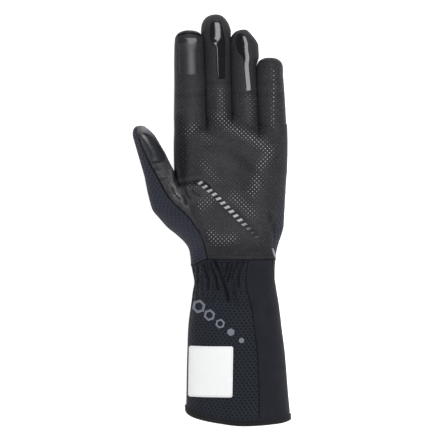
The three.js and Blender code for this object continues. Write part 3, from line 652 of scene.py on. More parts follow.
@dataclass
class CuffForm:
    """Outer form of the cuff from the wrist seam to its mouth, in millimetres."""

    hand: HandForm
    length: float = 127.5
    wrist_width: float = 62.4
    mouth_width: float = 80.5
    wrist_front: float = 14.5
    wrist_back: float = 15.5
    mouth_height: float = 18.5
    rest: float = 1.0
    gathers: int = 17
    gather_depth: float = 1.0
    tape_wall: float = 0.9
    tape_gap: float = 0.45
    tape_from: float = 0.84
    tape_run: float = 0.1
    foot: float = 1.35
    turn_rounds: int = 12
    side_fade: float = 2.2
    gap: float = 0.05
    mounds: tuple[Mound, ...] = ()
    creases: tuple[Crease, ...] = ()

    def half(self, down: Array) -> Array:
        """Half the cuff's width at a share down."""
        return mix(self.wrist_width, self.mouth_width, CUFF_SECTIONS.read("flare", down)) / 2

    def centre(self, down: Array) -> Array:
        """Centre line of the cuff at a share down."""
        return CUFF_SECTIONS.read("centre", down) * self.mouth_width

    def hem(self, turn: Array) -> Array:
        """Height of the hem's line at a turn round the cuff."""
        around = np.abs(np.arctan2(np.sin(turn), np.cos(turn))) / math.pi
        return HEM_LINE.read("rise", around) * self.length

    def along(self, down: Array, turn: Array, low: float) -> Array:
        """Place along the glove at a share down from the wrist seam."""
        return mix(self.length - self.gap / 2 - self.hand.wrist_point(turn), low + self.hem(turn), down)

    def point(self, down: Array, turn: Array, inset: float, ripple: Array | float = 0.0) -> Array:
        """Points of the cuff's section: a superellipse that flares and deepens to the mouth.

        Args:
            down: Shares down from the wrist seam.
            turn: Turns from the thumb's side over the front.
            inset: Depth under the skin, below 0 over it.
            ripple: Height of the gathers over the plain form.

        Returns:
            Across and height, last.
        """
        deep = CUFF_SECTIONS.read("deep", down)
        half = self.half(down)
        front = mix(self.wrist_front, self.mouth_height, deep)
        back = mix(self.wrist_back, self.mouth_height, deep)
        tall = np.where(np.sin(turn) >= 0, front, -back)
        share = np.clip(np.abs(np.cos(turn)), 0, 1)
        bow = (1 - share**self.hand.roundness) ** (1 / self.hand.roundness)
        x = self.centre(down) - (half + ripple - inset) * np.cos(turn)
        z = back - self.rest + (tall + np.sign(tall) * (ripple - inset)) * bow
        floor = (self.tape_gap + self.tape_wall) * smooth((down - self.tape_from) / self.tape_run)
        return np.stack([x, np.maximum(z, floor + inset)], axis=-1)

    def soft(self, x: Array, y: Array, turn: Array) -> Array:
        """Long folds and swellings on the front of the cuff, fading out at its sides."""
        return added((*self.mounds, *self.creases), x, y) * np.clip(np.sin(turn) * self.side_fade, 0, 1)

    def skin(self, down: Array, turn: Array, inset: float, ripple: Array | float = 0.0) -> Array:
        """Points of the cuff's cloth with its folds, at a depth and with the gathers' ripple."""
        flat = self.point(down, turn, inset, ripple)
        y = self.along(down, turn, self.foot)
        z = flat[..., 1] + self.soft(flat[..., 0], y, turn)
        return np.stack([flat[..., 0], y + 0 * z, z], axis=-1)

    def front_turn(self, x: Array, y: Array) -> Pair:
        """Share down and turn of the front at plan points, found by putting x and y back in some rounds.

        Args:
            x: Across.
            y: Along.

        Returns:
            Shares down and turns.
        """
        turn = np.full(np.broadcast(x, y).shape, math.pi / 2)
        down = np.full(turn.shape, 0.5)
        for _ in range(self.turn_rounds):
            top = self.length - self.gap / 2 - self.hand.wrist_point(turn)
            bottom = self.foot + self.hem(turn)
            down = np.clip((top - y) / (top - bottom), 0, 1)
            turn = arc((self.centre(down) - x) / self.half(down))
        return down, turn

    def front(self, x: Array, y: Array, over: float) -> Array:
        """Points over the front of the cuff at plan points."""
        down, turn = self.front_turn(x, y)
        z = self.point(down, turn, -over)[..., 1] + self.soft(x, y, turn)
        return np.stack(np.broadcast_arrays(x, y, z), axis=-1)


def strip(here: Array, there: Array, step: int) -> list[Array]:
    """Two triangles for each pair of points, with the pair that lies a step further on."""
    return [np.stack([here, there, step + there], -1), np.stack([here, step + there, step + here], -1)]


class Shell:
    """Grids of outer and inner points that are welded and closed into one wall of cloth."""

    def __init__(self) -> None:
        """Starts an empty shell."""
        self.outer: list[Array] = []
        self.inner: list[Array] = []
        self.cloth: list[Array] = []
        self.faces: list[Array] = []
        self.count = 0

    def grid(self, outer: Array, inner: Array, cloth: Array | None = None) -> "Shell":
        """Adds one grid of points, with outward faces when columns run to the left of rows.

        Args:
            outer: Outer points, rows by columns by 3.
            inner: Inner points of the same shape.
            cloth: Places on the flat cloth, rows by columns by 2, measured where left out.

        Returns:
            The shell itself.
        """
        rows, columns = outer.shape[:2]
        ids = self.count + np.arange(rows * columns).reshape(rows, columns)
        self.faces.append(np.concatenate(strip(ids[:-1, :-1], ids[:-1, 1:], columns)).reshape(-1, 3))
        self.outer.append(outer.reshape(-1, 3))
        self.inner.append(inner.reshape(-1, 3))
        self.cloth.append((measure(outer) if cloth is None else cloth).reshape(-1, 2))
        self.count += rows * columns
        return self

    def close(self) -> tuple[Array, Array, Array]:
        """Welds equal points, turns the inner faces round and puts a rim on every open edge.

        Returns:
            Points, triangles and places on the cloth.
        """
        outer, inner, cloth = (np.concatenate(part) for part in (self.outer, self.inner, self.cloth))
        steps = np.round(outer * WELD_STEPS).astype(np.int64)
        _, first, index = np.unique(steps, axis=0, return_index=True, return_inverse=True)
        faces = index.reshape(-1)[np.concatenate(self.faces)]
        whole = (faces[:, 0] != faces[:, 1]) & (faces[:, 1] != faces[:, 2]) & (faces[:, 0] != faces[:, 2])
        faces = faces[whole]
        outer, inner, cloth = outer[first], inner[first], cloth[first]
        count = len(outer)
        edges = np.concatenate([faces[:, [0, 1]], faces[:, [1, 2]], faces[:, [2, 0]]])
        ahead, back = edges[:, 0] * count + edges[:, 1], edges[:, 1] * count + edges[:, 0]
        rim = edges[~np.isin(ahead, back)]
        start, stop = rim[:, 0], rim[:, 1]
        triangles = np.concatenate([faces, count + faces[:, ::-1], *strip(stop, start, count)])
        return np.concatenate([outer, inner]), triangles, np.concatenate([cloth, cloth])


def measure(points: Array) -> Array:
    """Places on the flat cloth: the length run along each row from its middle, and the mean length up.

    Args:
        points: A grid of points.

    Returns:
        Two lengths in millimetres for each point.
    """
    across = np.linalg.norm(np.diff(points, axis=1), axis=-1)
    across = np.concatenate([np.zeros((len(points), 1)), np.cumsum(across, axis=1)], axis=1)
    across = across - across[:, [points.shape[1] // 2]]
    rise = np.linalg.norm(np.diff(points, axis=0), axis=-1).mean(axis=1)
    rise = np.concatenate([[0.0], np.cumsum(rise)])[:, None] + np.zeros(points.shape[:2])
    return np.stack([across, rise], axis=-1)


def place_shift(cuff: CuffForm) -> Array:
    """Shift from the pattern's zero to the frame: the hem tape's box against its own formula."""
    low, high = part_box("hem_binding")
    widest = 0.45
    down = np.array(1 - widest / cuff.length)
    return np.array([(low[0] + high[0]) / 2 / MM - float(cuff.centre(down)), low[1] / MM, 0.0])


@dataclass
class Workbench:
    """Turns point arrays into finished Blender objects in the frame."""

    shift: Array

    def build(
        self,
        name: str,
        points: Array,
        faces: Array,
        finish: "Finish",
        node: str = "",
        slot: str = "",
        cloth: Array | None = None,
        sharp: float = 50.0,
        tone: Array | None = None,
    ) -> None:
        """Makes one object, dresses it and puts it on the glove.

        Args:
            name: The piece's name.
            points: Points in millimetres from the pattern's zero.
            faces: Triangles or quads.
            finish: The finish to dress it in.
            node: The solid that it stands for.
            slot: The record's material slot; not used.
            cloth: Places on the flat cloth for each point.
            sharp: Angle over which an edge is left sharp, in degrees.
            tone: A lightness from 0 to 1 for each point.
        """
        mesh = bpy.data.meshes.new(name)
        mesh.from_pydata((points + self.shift) * MM, [], faces)
        if cloth is not None:
            layer = mesh.uv_layers.new(name="cloth")
            layer.data.foreach_set("uv", cloth[np.asarray(faces).reshape(-1)].astype(np.float32).reshape(-1))
        shade = mesh.attributes.new("tone", "FLOAT", "POINT")
        values = np.zeros(len(points)) if tone is None else tone
        shade.data.foreach_set("value", values.astype(np.float32))
        mesh.polygons.foreach_set("use_smooth", np.ones(len(mesh.polygons), dtype=bool))
        mesh.set_sharp_from_angle(angle=math.radians(sharp))
        mesh.materials.append(finish.material())
        mesh.update()
        piece = bpy.data.objects.new(name, mesh)
        bpy.context.scene.collection.objects.link(piece)
        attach(piece, "root")
        if node:
            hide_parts(node)
        LOG.info("%s: %d triangles", name, sum(len(one.vertices) - 2 for one in mesh.polygons))


def frames_on(along: Array, normal: Array) -> tuple[Array, Array, Array]:
    """Three unit directions at each point, made square to each other."""
    out = normal / np.linalg.norm(normal, axis=-1, keepdims=True)
    along = along - out * np.sum(along * out, axis=-1, keepdims=True)
    along = along / np.maximum(np.linalg.norm(along, axis=-1, keepdims=True), 1e-9)
    return along, np.cross(out, along), out


def stamp(shape: Array, faces: Array, points: Array, along: Array, normal: Array) -> Pair:
    """Copies one small shape to many places as arrays.

    Args:
        shape: The shape's points as along, across and out.
        faces: The shape's triangles.
        points: Where the copies go.
        along: Direction of each copy.
        normal: Outward direction at each place.

    Returns:
        All points and all triangles.
    """
    frames = np.stack(frames_on(along, normal), axis=1)
    placed = points[:, None, :] + np.einsum("kj,nji->nki", shape, frames)
    index = faces[None] + (np.arange(len(points)) * len(shape))[:, None, None]
    return placed.reshape(-1, 3), index.reshape(-1, 3)


def dome_shape(radius: float, height: float, sides: int = 6) -> Pair:
    """A closed low dome: a ring at the foot, a smaller ring over it and a point on top and under it.

    Args:
        radius: Radius of its foot.
        height: Height of its top.
        sides: Points in a ring.

    Returns:
        Points as along, across and out, and triangles.
    """
    sunk, rim_share, rim_rise = 0.15, 0.74, 0.72
    turn = 2 * math.pi * np.arange(sides) / sides
    ring = np.stack([np.cos(turn), np.sin(turn)], axis=-1)
    foot = np.column_stack([ring * radius, np.full(sides, -sunk)])
    rim = np.column_stack([ring * radius * rim_share, np.full(sides, height * rim_rise)])
    points = np.concatenate([foot, rim, [[0, 0, height]], [[0, 0, -sunk]]])
    here, there = np.arange(sides), (np.arange(sides) + 1) % sides
    top, under = np.full(sides, 2 * sides), np.full(sides, 2 * sides + 1)
    faces = [
        *strip(here, there, sides),
        np.stack([sides + here, sides + there, top], -1),
        np.stack([there, here, under], -1),
    ]
    return points, np.concatenate(faces)


def thread_shape(length: float, radius: float) -> Pair:
    """A closed stitch: three rings of six points along a low arch, with a point at each end.

    Args:
        length: Length of the stitch.
        radius: Radius of the thread.

    Returns:
        Points as along, across and out, and triangles.
    """
    turn = 2 * math.pi * np.arange(6) / 6
    rings, spots, sizes, lifts = [], (-0.36, 0.0, 0.36), (0.8, 1.0, 0.8), (0.0, 0.5, 0.0)
    for spot, size, lift in zip(spots, sizes, lifts):
        side, out = radius * size * np.cos(turn), radius * (size * np.sin(turn) + lift)
        rings.append(np.column_stack([np.full(6, spot * length), side, out]))
    points = np.concatenate([*rings, [[-0.5 * length, 0, -radius]], [[0.5 * length, 0, -radius]]])
    here, there = np.arange(6), (np.arange(6) + 1) % 6
    ends = np.stack([there, here, np.full(6, 18)], -1), np.stack([12 + here, 12 + there, np.full(6, 19)], -1)
    faces = list(ends)
    for ring in (0, 6):
        faces += strip(ring + here, ring + there, 6)
    return points, np.concatenate(faces)


def spaced(line: Array, step: float) -> Array:
    """Points a step apart along a line, by its run length."""
    run = np.concatenate([[0.0], np.cumsum(np.linalg.norm(np.diff(line, axis=0), axis=-1))])
    places = np.linspace(0, run[-1], max(2, int(run[-1] / step) + 1))
    return np.stack([np.interp(places, run, line[:, k]) for k in range(line.shape[1])], axis=-1)


def stitches(line: Array, normal: Array, step: float, length: float, radius: float) -> Pair:
    """A row of stitches laid along a line of points with their outward directions.

    Args:
        line: Points of the row.
        normal: Outward direction at each point.
        step: Distance from stitch to stitch.
        length: Length of one stitch.
        radius: Radius of the thread.

    Returns:
        Points and triangles.
    """
    both = spaced(np.concatenate([line, normal], axis=1), step)
    points, out = both[:, :3], both[:, 3:]
    along = np.gradient(points, axis=0)
    shape, faces = thread_shape(length, radius)
    return stamp(shape, faces, points + out * radius * 0.4, along, out)


def tube(line: Array, normal: Array, wide: float, tall: float, sides: int = 8) -> Pair:
    """A closed welt: an ellipse carried along a line, with a point at each end.

    Args:
        line: Points of the welt's middle.
        normal: Outward direction at each point.
        wide: Half the welt's width.
        tall: Half its height.
        sides: Points round it.

    Returns:
        Points and triangles.
    """
    along = np.gradient(line, axis=0)
    ahead, across, out = frames_on(along, normal)
    turn = 2 * math.pi * np.arange(sides) / sides
    ring = line[:, None] + wide * np.cos(turn)[None, :, None] * across[:, None]
    ring = ring + tall * np.sin(turn)[None, :, None] * out[:, None]
    points = np.concatenate([ring.reshape(-1, 3), line[:1] - ahead[:1] * tall, line[-1:] + ahead[-1:] * tall])
    rows = np.arange(len(line) - 1)[:, None] * sides
    here, there = np.arange(sides)[None], ((np.arange(sides) + 1) % sides)[None]
    faces = [part.reshape(-1, 3) for part in strip(rows + here, rows + there, sides)]
    last, start, stop = (len(line) - 1) * sides, len(points) - 2, len(points) - 1
    faces.append(np.stack([there[0], here[0], np.full(sides, start)], -1))
    faces.append(np.stack([last + here[0], last + there[0], np.full(sides, stop)], -1))
    return points, np.concatenate(faces)


def joined(parts: Sequence[Pair]) -> Pair:
    """Several meshes as one: the points in a row and each one's faces moved on."""
    points, faces, count = [], [], 0
    for some, index in parts:
        points.append(some)
        faces.append(index + count)
        count += len(some)
    return np.concatenate(points), np.concatenate(faces)


def paint(red: int, green: int, blue: int) -> Paint:
    """Linear colour of a paint: the screen curve undone."""
    values = np.array([red, green, blue]) / 255
    linear = np.where(values <= 0.04045, values / 12.92, ((values + 0.055) / 1.055) ** 2.4)
    return float(linear[0]), float(linear[1]), float(linear[2]), 1.0


class Recipe:
    """A material's node tree with short ways to add and join nodes."""

    def __init__(self, name: str, **constants: float | tuple[float, ...]) -> None:
        """Starts a material.

        Args:
            name: The material's name.
            constants: Values set on the shader's own sockets.
        """
        self.material = bpy.data.materials.new(name)
        self.material.use_nodes = True
        self.nodes, self.links = self.material.node_tree.nodes, self.material.node_tree.links
        self.nodes.clear()
        self.shader = self.nodes.new("ShaderNodeBsdfPrincipled")
        output = self.nodes.new("ShaderNodeOutputMaterial")
        self.links.new(self.shader.outputs["BSDF"], output.inputs["Surface"])
        for key, value in constants.items():
            self.shader.inputs[key.replace("_", " ")].default_value = value

    def add(self, kind: str, inputs: dict[str | int, object], **settings: object) -> bpy.types.Node:
        """Adds a node, sets its options and joins or fills its inputs.

        Args:
            kind: Blender's name of the node.
            inputs: Sockets to join or values to set, by input.
            settings: The node's options.

        Returns:
            The node.
        """
        node = self.nodes.new(kind)
        for key, value in settings.items():
            setattr(node, key, value)
        for key, value in inputs.items():
            if isinstance(value, Socket):
                self.links.new(value, node.inputs[key])
            else:
                node.inputs[key].default_value = value
        return node

    def math(self, operation: str, a: Value, b: Value = 0.0, clamp: bool = False) -> Socket:
        """One step of arithmetic."""
        return self.add("ShaderNodeMath", {0: a, 1: b}, operation=operation, use_clamp=clamp).outputs[0]

    def plus(self, a: Value, b: Value, clamp: bool = False) -> Socket:
        """Sum of two values, held between 0 and 1 if clamped."""
        return self.math("ADD", a, b, clamp)

    def times(self, a: Value, b: Value) -> Socket:
        """Product of two values."""
        return self.math("MULTIPLY", a, b)

    def ribs(self, place: Value, pitch: float) -> Socket:
        """Sine of 2 pi times a place over a pitch."""
        return self.math("SINE", self.times(place, 2 * math.pi / pitch))

    def scaled(self, value: Value, low: float, high: float, to_low: float, to_high: float) -> Socket:
        """A value moved from one range to another and held there."""
        inputs = {"Value": value, "From Min": low, "From Max": high, "To Min": to_low, "To Max": to_high}
        return self.add("ShaderNodeMapRange", inputs).outputs["Result"]

    def space(self) -> Socket:
        """Object coordinates in millimetres."""
        source = self.nodes.new("ShaderNodeTexCoord").outputs["Object"]
        return self.add("ShaderNodeVectorMath", {0: source, "Scale": 1000.0}, operation="SCALE").outputs[0]

    def cloth(self) -> tuple[Socket, Socket, Socket]:
        """Places on the flat cloth in millimetres: the vector, across and along."""
        vector = self.add("ShaderNodeUVMap", {}, uv_map="cloth").outputs["UV"]
        parts = self.add("ShaderNodeSeparateXYZ", {0: vector})
        return vector, parts.outputs[0], parts.outputs[1]

    def tone(self) -> Socket:
        """The piece's lightness attribute, which carries painted light and shade on the leather, the cuff
        mesh and the dots.
        """
        return self.add("ShaderNodeAttribute", {}, attribute_name="tone").outputs["Fac"]

    def noise(self, vector: Socket, scale: float, detail: float = 2.0, rough: float = 0.5) -> Socket:
        """Soft noise with so many waves to a millimetre."""
        inputs = {"Vector": vector, "Scale": scale, "Detail": detail, "Roughness": rough}
        return self.add("ShaderNodeTexNoise", inputs).outputs["Fac"]

    def cells(self, vector: Socket, scale: float, feature: str = "F1") -> Socket:
        """Distance in a field of cells with so many cells to a millimetre."""
        inputs = {"Vector": vector, "Scale": scale}
        return self.add("ShaderNodeTexVoronoi", inputs, feature=feature).outputs["Distance"]

    def blend(self, share: Value, low: object, high: object) -> Socket:
        """Colour a share of the way between two colours.

        Args:
            share: 0 at the low colour, 1 at the high one.
            low: The first colour.
            high: The second colour.

        Returns:
            The mixed colour.
        """
        node = self.nodes.new("ShaderNodeMix")
        node.data_type = "RGBA"
        for socket, value in ((node.inputs[0], share), (node.inputs[6], low), (node.inputs[7], high)):
            if isinstance(value, Socket):
                self.links.new(value, socket)
            else:
                socket.default_value = value
        return node.outputs[2]

    def wave(self, across: Value, along: Value, wide: float, tall: float, sign: float) -> Socket:
        """Cosine of slanting lines: 2 pi times across over wide, plus or minus pi times along over tall."""
        one = self.times(across, 2 * math.pi / wide)
        two = self.times(along, sign * math.pi / tall)
        return self.math("COSINE", self.plus(one, two))

    def lattice(self, across: Value, along: Value, wide: float, tall: float) -> Socket:
        """Staggered cells: the sum of three cosines that all peak at the cells' centres, from -1.5 to 3."""
        straight = self.math("COSINE", self.times(along, 2 * math.pi / tall))
        rising, falling = (self.wave(across, along, wide, tall, sign) for sign in (1, -1))
        return self.plus(self.plus(rising, falling), straight)

    def bump(self, height: Value, depth: float, under: Socket | None = None) -> Socket:
        """Relief of a depth in millimetres, over another relief."""
        inputs: dict[str | int, object] = {"Height": height, "Distance": depth * MM, "Strength": 1.0}
        if under is not None:
            inputs["Normal"] = under
        return self.add("ShaderNodeBump", inputs).outputs["Normal"]

    def finish(self, colour: Socket, rough: Socket, normal: Socket) -> bpy.types.Material:
        """Joins colour, roughness and relief to the shader."""
        self.links.new(colour, self.shader.inputs["Base Color"])
        self.links.new(rough, self.shader.inputs["Roughness"])
        self.links.new(normal, self.shader.inputs["Normal"])
        return self.material


@dataclass(frozen=True)
class Finish:
    """A finish that makes its material once and lends it to every piece that asks."""

    name: str

    def material(self) -> bpy.types.Material:
        """The finish's material, made on the first call."""
        return bpy.data.materials.get(self.name) or self.mix()

    def mix(self) -> bpy.types.Material:
        """Makes the material."""
        raise NotImplementedError


@dataclass(frozen=True)
class Leather(Finish):
    """Soft synthetic leather with a fine pebbled grain and stretch lines."""

    dark: Paint = paint(33, 32, 35)
    light: Paint = paint(62, 61, 65)
    grain: float = 1.5
    mottle: float = 0.45
    rough: float = 0.5

    def mix(self) -> bpy.types.Material:
        """Colour from broad noise and grain, roughness from noise, relief from cells and stretch lines."""
        recipe = Recipe(self.name, Specular_IOR_Level=0.12, Sheen_Weight=0.01, Sheen_Roughness=0.5)
        space = recipe.space()
        broad = recipe.noise(space, 0.06, 3.0)
        grain = recipe.cells(space, self.grain, "SMOOTH_F1")
        pores = recipe.noise(space, 2.6, 2.0)
        lines = recipe.noise(space, 0.45, 3.0, 0.6)
        share = recipe.plus(recipe.times(broad, 0.25), recipe.times(grain, 0.25))
        share = recipe.plus(share, recipe.scaled(lines, 0.0, 1.0, 0.23 - self.mottle, 0.23 + self.mottle))
        # The tone attribute adds painted light and shade to the colour.
        share = recipe.plus(share, recipe.times(recipe.tone(), 0.6), clamp=True)
        colour = recipe.blend(share, self.dark, self.light)
        rough = recipe.scaled(recipe.plus(broad, pores), 0.6, 1.4, self.rough - 0.08, self.rough + 0.12)
        normal = recipe.bump(lines, 0.35)
        normal = recipe.bump(recipe.plus(grain, recipe.times(pores, 0.6)), 0.09, normal)
        return recipe.finish(colour, rough, normal)


@dataclass(frozen=True)
class Knit(Finish):
    """Fine knit whose stitches stand in a diamond lattice."""

    dark: Paint = paint(30, 32, 41)
    light: Paint = paint(51, 54, 67)
    wide: float = 3.6
    tall: float = 2.3

    def mix(self) -> bpy.types.Material:
        """Colour and relief from the staggered cells, broken up by noise and fine yarn lines."""
        recipe = Recipe(self.name, Specular_IOR_Level=0.15, Sheen_Weight=0.06, Sheen_Roughness=0.6)
        vector, across, along = recipe.cloth()
        cell = recipe.lattice(across, along, self.wide, self.tall)
        yarn = recipe.ribs(along, 0.42)
        fuzz = recipe.noise(vector, 1.4, 3.0, 0.6)
        broad = recipe.noise(vector, 0.08, 2.0)
        share = recipe.scaled(cell, -1.2, 2.2, 0.9, 0.05)
        uneven = recipe.scaled(recipe.plus(fuzz, broad), 0.6, 1.4, -0.25, 0.25)
        share = recipe.plus(share, uneven, clamp=True)
        colour = recipe.blend(share, self.dark, self.light)
        rough = recipe.scaled(fuzz, 0.3, 0.7, 0.72, 0.95)
        normal = recipe.bump(recipe.times(cell, -1.0), 0.12)
        normal = recipe.bump(recipe.plus(recipe.times(yarn, 0.3), fuzz), 0.05, normal)
        return recipe.finish(colour, rough, normal)


@dataclass(frozen=True)
class Honeycomb(Finish):
    """Stretch mesh with staggered six-sided holes over a dark lining."""

    hole: Paint = paint(19, 22, 29)
    yarn: Paint = paint(35, 39, 48)
    wide: float = 3.4
    tall: float = 2.2

    def mix(self) -> bpy.types.Material:
        """Dark holes where the lattice peaks, lighter yarn between, with a fine twist along the yarn, all
        darkened as painted shade where the tone attribute rises.
        """
        recipe = Recipe(self.name, Specular_IOR_Level=0.15, Sheen_Weight=0.04, Sheen_Roughness=0.6)
        vector, across, along = recipe.cloth()
        cell = recipe.lattice(across, along, self.wide, self.tall)
        fuzz = recipe.noise(vector, 1.1, 3.0, 0.6)
        broad = recipe.noise(vector, 0.07, 2.0)
        open_share = recipe.scaled(cell, -1.0, 1.8, 1.0, 0.0)
        uneven = recipe.scaled(recipe.plus(fuzz, broad), 0.6, 1.4, -0.3, 0.25)
        share = recipe.plus(open_share, uneven, clamp=True)
        # Painted shade: the tone attribute darkens the yarn and the holes towards black in the gathers'
        # valleys.
        share = recipe.times(share, recipe.scaled(recipe.tone(), 0.0, 1.0, 1.0, 0.15))
        shade = recipe.scaled(recipe.tone(), 0.0, 1.0, 1.0, 0.45)
        hole = recipe.blend(shade, (0.0, 0.0, 0.0, 1.0), self.hole)
        colour = recipe.blend(share, hole, self.yarn)
        rough = recipe.scaled(recipe.plus(fuzz, open_share), 0.3, 1.6, 0.9, 0.62)
        twist = recipe.ribs(recipe.plus(across, along), 0.5)
        normal = recipe.bump(open_share, 0.3)
        normal = recipe.bump(recipe.plus(recipe.times(twist, 0.3), fuzz), 0.06, normal)
        return recipe.finish(colour, rough, normal)


@dataclass(frozen=True)
class Ribbed(Finish):
    """Smooth stretch cloth or tape with fine ribs."""

    dark: Paint = paint(29, 30, 37)
    light: Paint = paint(39, 40, 48)
    rib: float = 1.1
    depth: float = 0.08
    upright: bool = True

    def mix(self) -> bpy.types.Material:
        """Ribs from a sine of the place on the cloth, with a fine cross yarn and noise."""
        recipe = Recipe(self.name, Specular_IOR_Level=0.15, Sheen_Weight=0.04, Sheen_Roughness=0.5)
        vector, across, along = recipe.cloth()
        main, cross = (across, along) if self.upright else (along, across)
        rib = recipe.ribs(main, self.rib)
        yarn = recipe.ribs(cross, 0.5)
        fuzz = recipe.noise(vector, 1.8, 3.0, 0.6)
        broad = recipe.noise(vector, 0.05, 2.0)
        height = recipe.plus(rib, recipe.times(yarn, 0.35))
        uneven = recipe.scaled(broad, 0.3, 0.7, -0.3, 0.3)
        share = recipe.plus(recipe.scaled(height, -1.3, 1.3, 0.3, 0.6), uneven)
        share = recipe.plus(share, recipe.scaled(fuzz, 0.3, 0.7, -0.15, 0.15), clamp=True)
        colour = recipe.blend(share, self.dark, self.light)
        normal = recipe.bump(recipe.plus(height, fuzz), self.depth)
        return recipe.finish(colour, recipe.scaled(fuzz, 0.3, 0.7, 0.68, 0.9), normal)


@dataclass(frozen=True)
class Gloss(Finish):
    """Smooth shiny grip film."""

    base: Paint = paint(14, 15, 19)
    light: Paint = paint(22, 23, 28)
    rough: float = 0.13
    matt: float = 0.45
    shine: float = 1.0

    def mix(self) -> bpy.types.Material:
        """Dark film with a slow waviness and faint smears in its roughness, dull where its tone rises."""
        recipe = Recipe(self.name, Specular_IOR_Level=self.shine)
        space = recipe.space()
        slow = recipe.noise(space, 0.12, 2.0)
        fine = recipe.noise(space, 1.2, 3.0)
        share = recipe.scaled(recipe.plus(slow, fine), 0.6, 1.4, 0.0, 1.0)
        colour = recipe.blend(share, self.base, self.light)
        rough = recipe.scaled(fine, 0.3, 0.7, self.rough - 0.03, self.rough + 0.04)
        rough = recipe.plus(rough, recipe.times(recipe.tone(), self.matt))
        height = recipe.plus(slow, recipe.times(fine, 0.04))
        return recipe.finish(colour, rough, recipe.bump(height, 0.02))


@dataclass(frozen=True)
class Rubber(Finish):
    """Moulded rubber or thick ink whose lightness follows the tone attribute."""

    dark: Paint = paint(46, 46, 49)
    light: Paint = paint(184, 185, 191)
    rough: float = 0.3

    def mix(self) -> bpy.types.Material:
        """Lightness from the tone attribute, with a little noise in colour and roughness."""
        recipe = Recipe(self.name, Specular_IOR_Level=0.25)
        space = recipe.space()
        fine = recipe.noise(space, 1.6, 3.0)
        share = recipe.plus(recipe.tone(), recipe.scaled(fine, 0.3, 0.7, -0.08, 0.08), clamp=True)
        rough = recipe.scaled(fine, 0.3, 0.7, self.rough - 0.06, self.rough + 0.1)
        return recipe.finish(recipe.blend(share, self.dark, self.light), rough, recipe.bump(fine, 0.04))


@dataclass(frozen=True)
class Satin(Finish):
    """Close white satin weave of the blank label."""

    base: Paint = paint(247, 248, 250)
    light: Paint = paint(255, 255, 255)

    def mix(self) -> bpy.types.Material:
        """Fine crossed yarns with a slight unevenness."""
        recipe = Recipe(self.name, Specular_IOR_Level=0.3, Sheen_Weight=0.1)
        vector, across, along = recipe.cloth()
        weft = recipe.ribs(along, 0.5)
        warp = recipe.ribs(across, 0.7)
        broad = recipe.noise(vector, 0.12, 3.0)
        weave = recipe.times(weft, warp)
        uneven = recipe.scaled(broad, 0.3, 0.7, -0.3, 0.2)
        share = recipe.plus(recipe.scaled(weave, -1, 1, 0.35, 0.8), uneven, clamp=True)
        colour = recipe.blend(share, self.base, self.light)
        return recipe.finish(colour, recipe.scaled(weave, -1, 1, 0.65, 0.5), recipe.bump(weave, 0.05))


@dataclass(frozen=True)
class Thread(Finish):
    """Twisted sewing thread."""

    dark: Paint = paint(9, 9, 11)
    light: Paint = paint(26, 26, 30)

    def mix(self) -> bpy.types.Material:
        """Light and dark turns of the twist from fine noise."""
        recipe = Recipe(self.name, Specular_IOR_Level=0.1, Sheen_Weight=0.02)
        fine = recipe.noise(recipe.space(), 3.0, 2.0)
        colour = recipe.blend(recipe.scaled(fine, 0.35, 0.65, 0.0, 1.0), self.dark, self.light)
        return recipe.finish(colour, recipe.scaled(fine, 0.3, 0.7, 0.55, 0.8), recipe.bump(fine, 0.06))


LEATHER = Leather("smooth_leather")
# Its pale light colour is there for the painted highlight on the thumb's cap and the painted glints at its
# crotch.
THUMB_LEATHER = Leather(
    "thumb_leather", dark=paint(38, 38, 40), light=paint(138, 138, 142), mottle=0.1, rough=0.45
)
BACK_KNIT = Knit("diamond_knit")
CUFF_HONEYCOMB = Honeycomb("cuff_honeycomb")
STRETCH = Ribbed("stretch_rib")
TAPE = Ribbed("hem_tape", dark=paint(26, 26, 30), light=paint(46, 46, 50), rib=0.9, depth=0.1)
FILM = Gloss("grip_film", shine=0.7)
PALE_FILM = Gloss(
    "pale_grip_film", base=paint(38, 37, 41), light=paint(50, 49, 54), rough=0.18, matt=0.18, shine=0.42
)
THUMB_FILM = Gloss("thumb_grip_film", base=paint(30, 31, 36), light=paint(44, 45, 52), rough=0.27, shine=0.55)
DOTS = Rubber("grip_dots")
INK = Rubber("raised_ink", dark=paint(88, 90, 100), light=paint(134, 137, 149), rough=0.55)
LABEL = Satin("label_satin")
DARK_THREAD = Thread("dark_thread")
PALE_THREAD = Thread("pale_thread", dark=paint(190, 190, 194), light=paint(232, 232, 234))


def spot(px: float, py: float) -> Spot:
    """Place in millimetres from the pattern's zero of a place that was measured on the sheet."""
    return (px - SHEET_MIDDLE) * SHEET_STEP, (SHEET_FOOT - py) * SHEET_STEP


def crease(depth: float, width: float, *spots: Spot, shoulder: float = 0.35) -> Crease:
    """A fold of a depth and a half width through measured places."""
    return Crease(tuple(spot(*one) for one in spots), depth, width, shoulder)


def mound(px: float, py: float, wide: float, long: float, height: float, turn: float = 0.0) -> Mound:
    """A swelling at a measured place."""
    x, y = spot(px, py)
    return Mound(x, y, wide, long, height, turn)


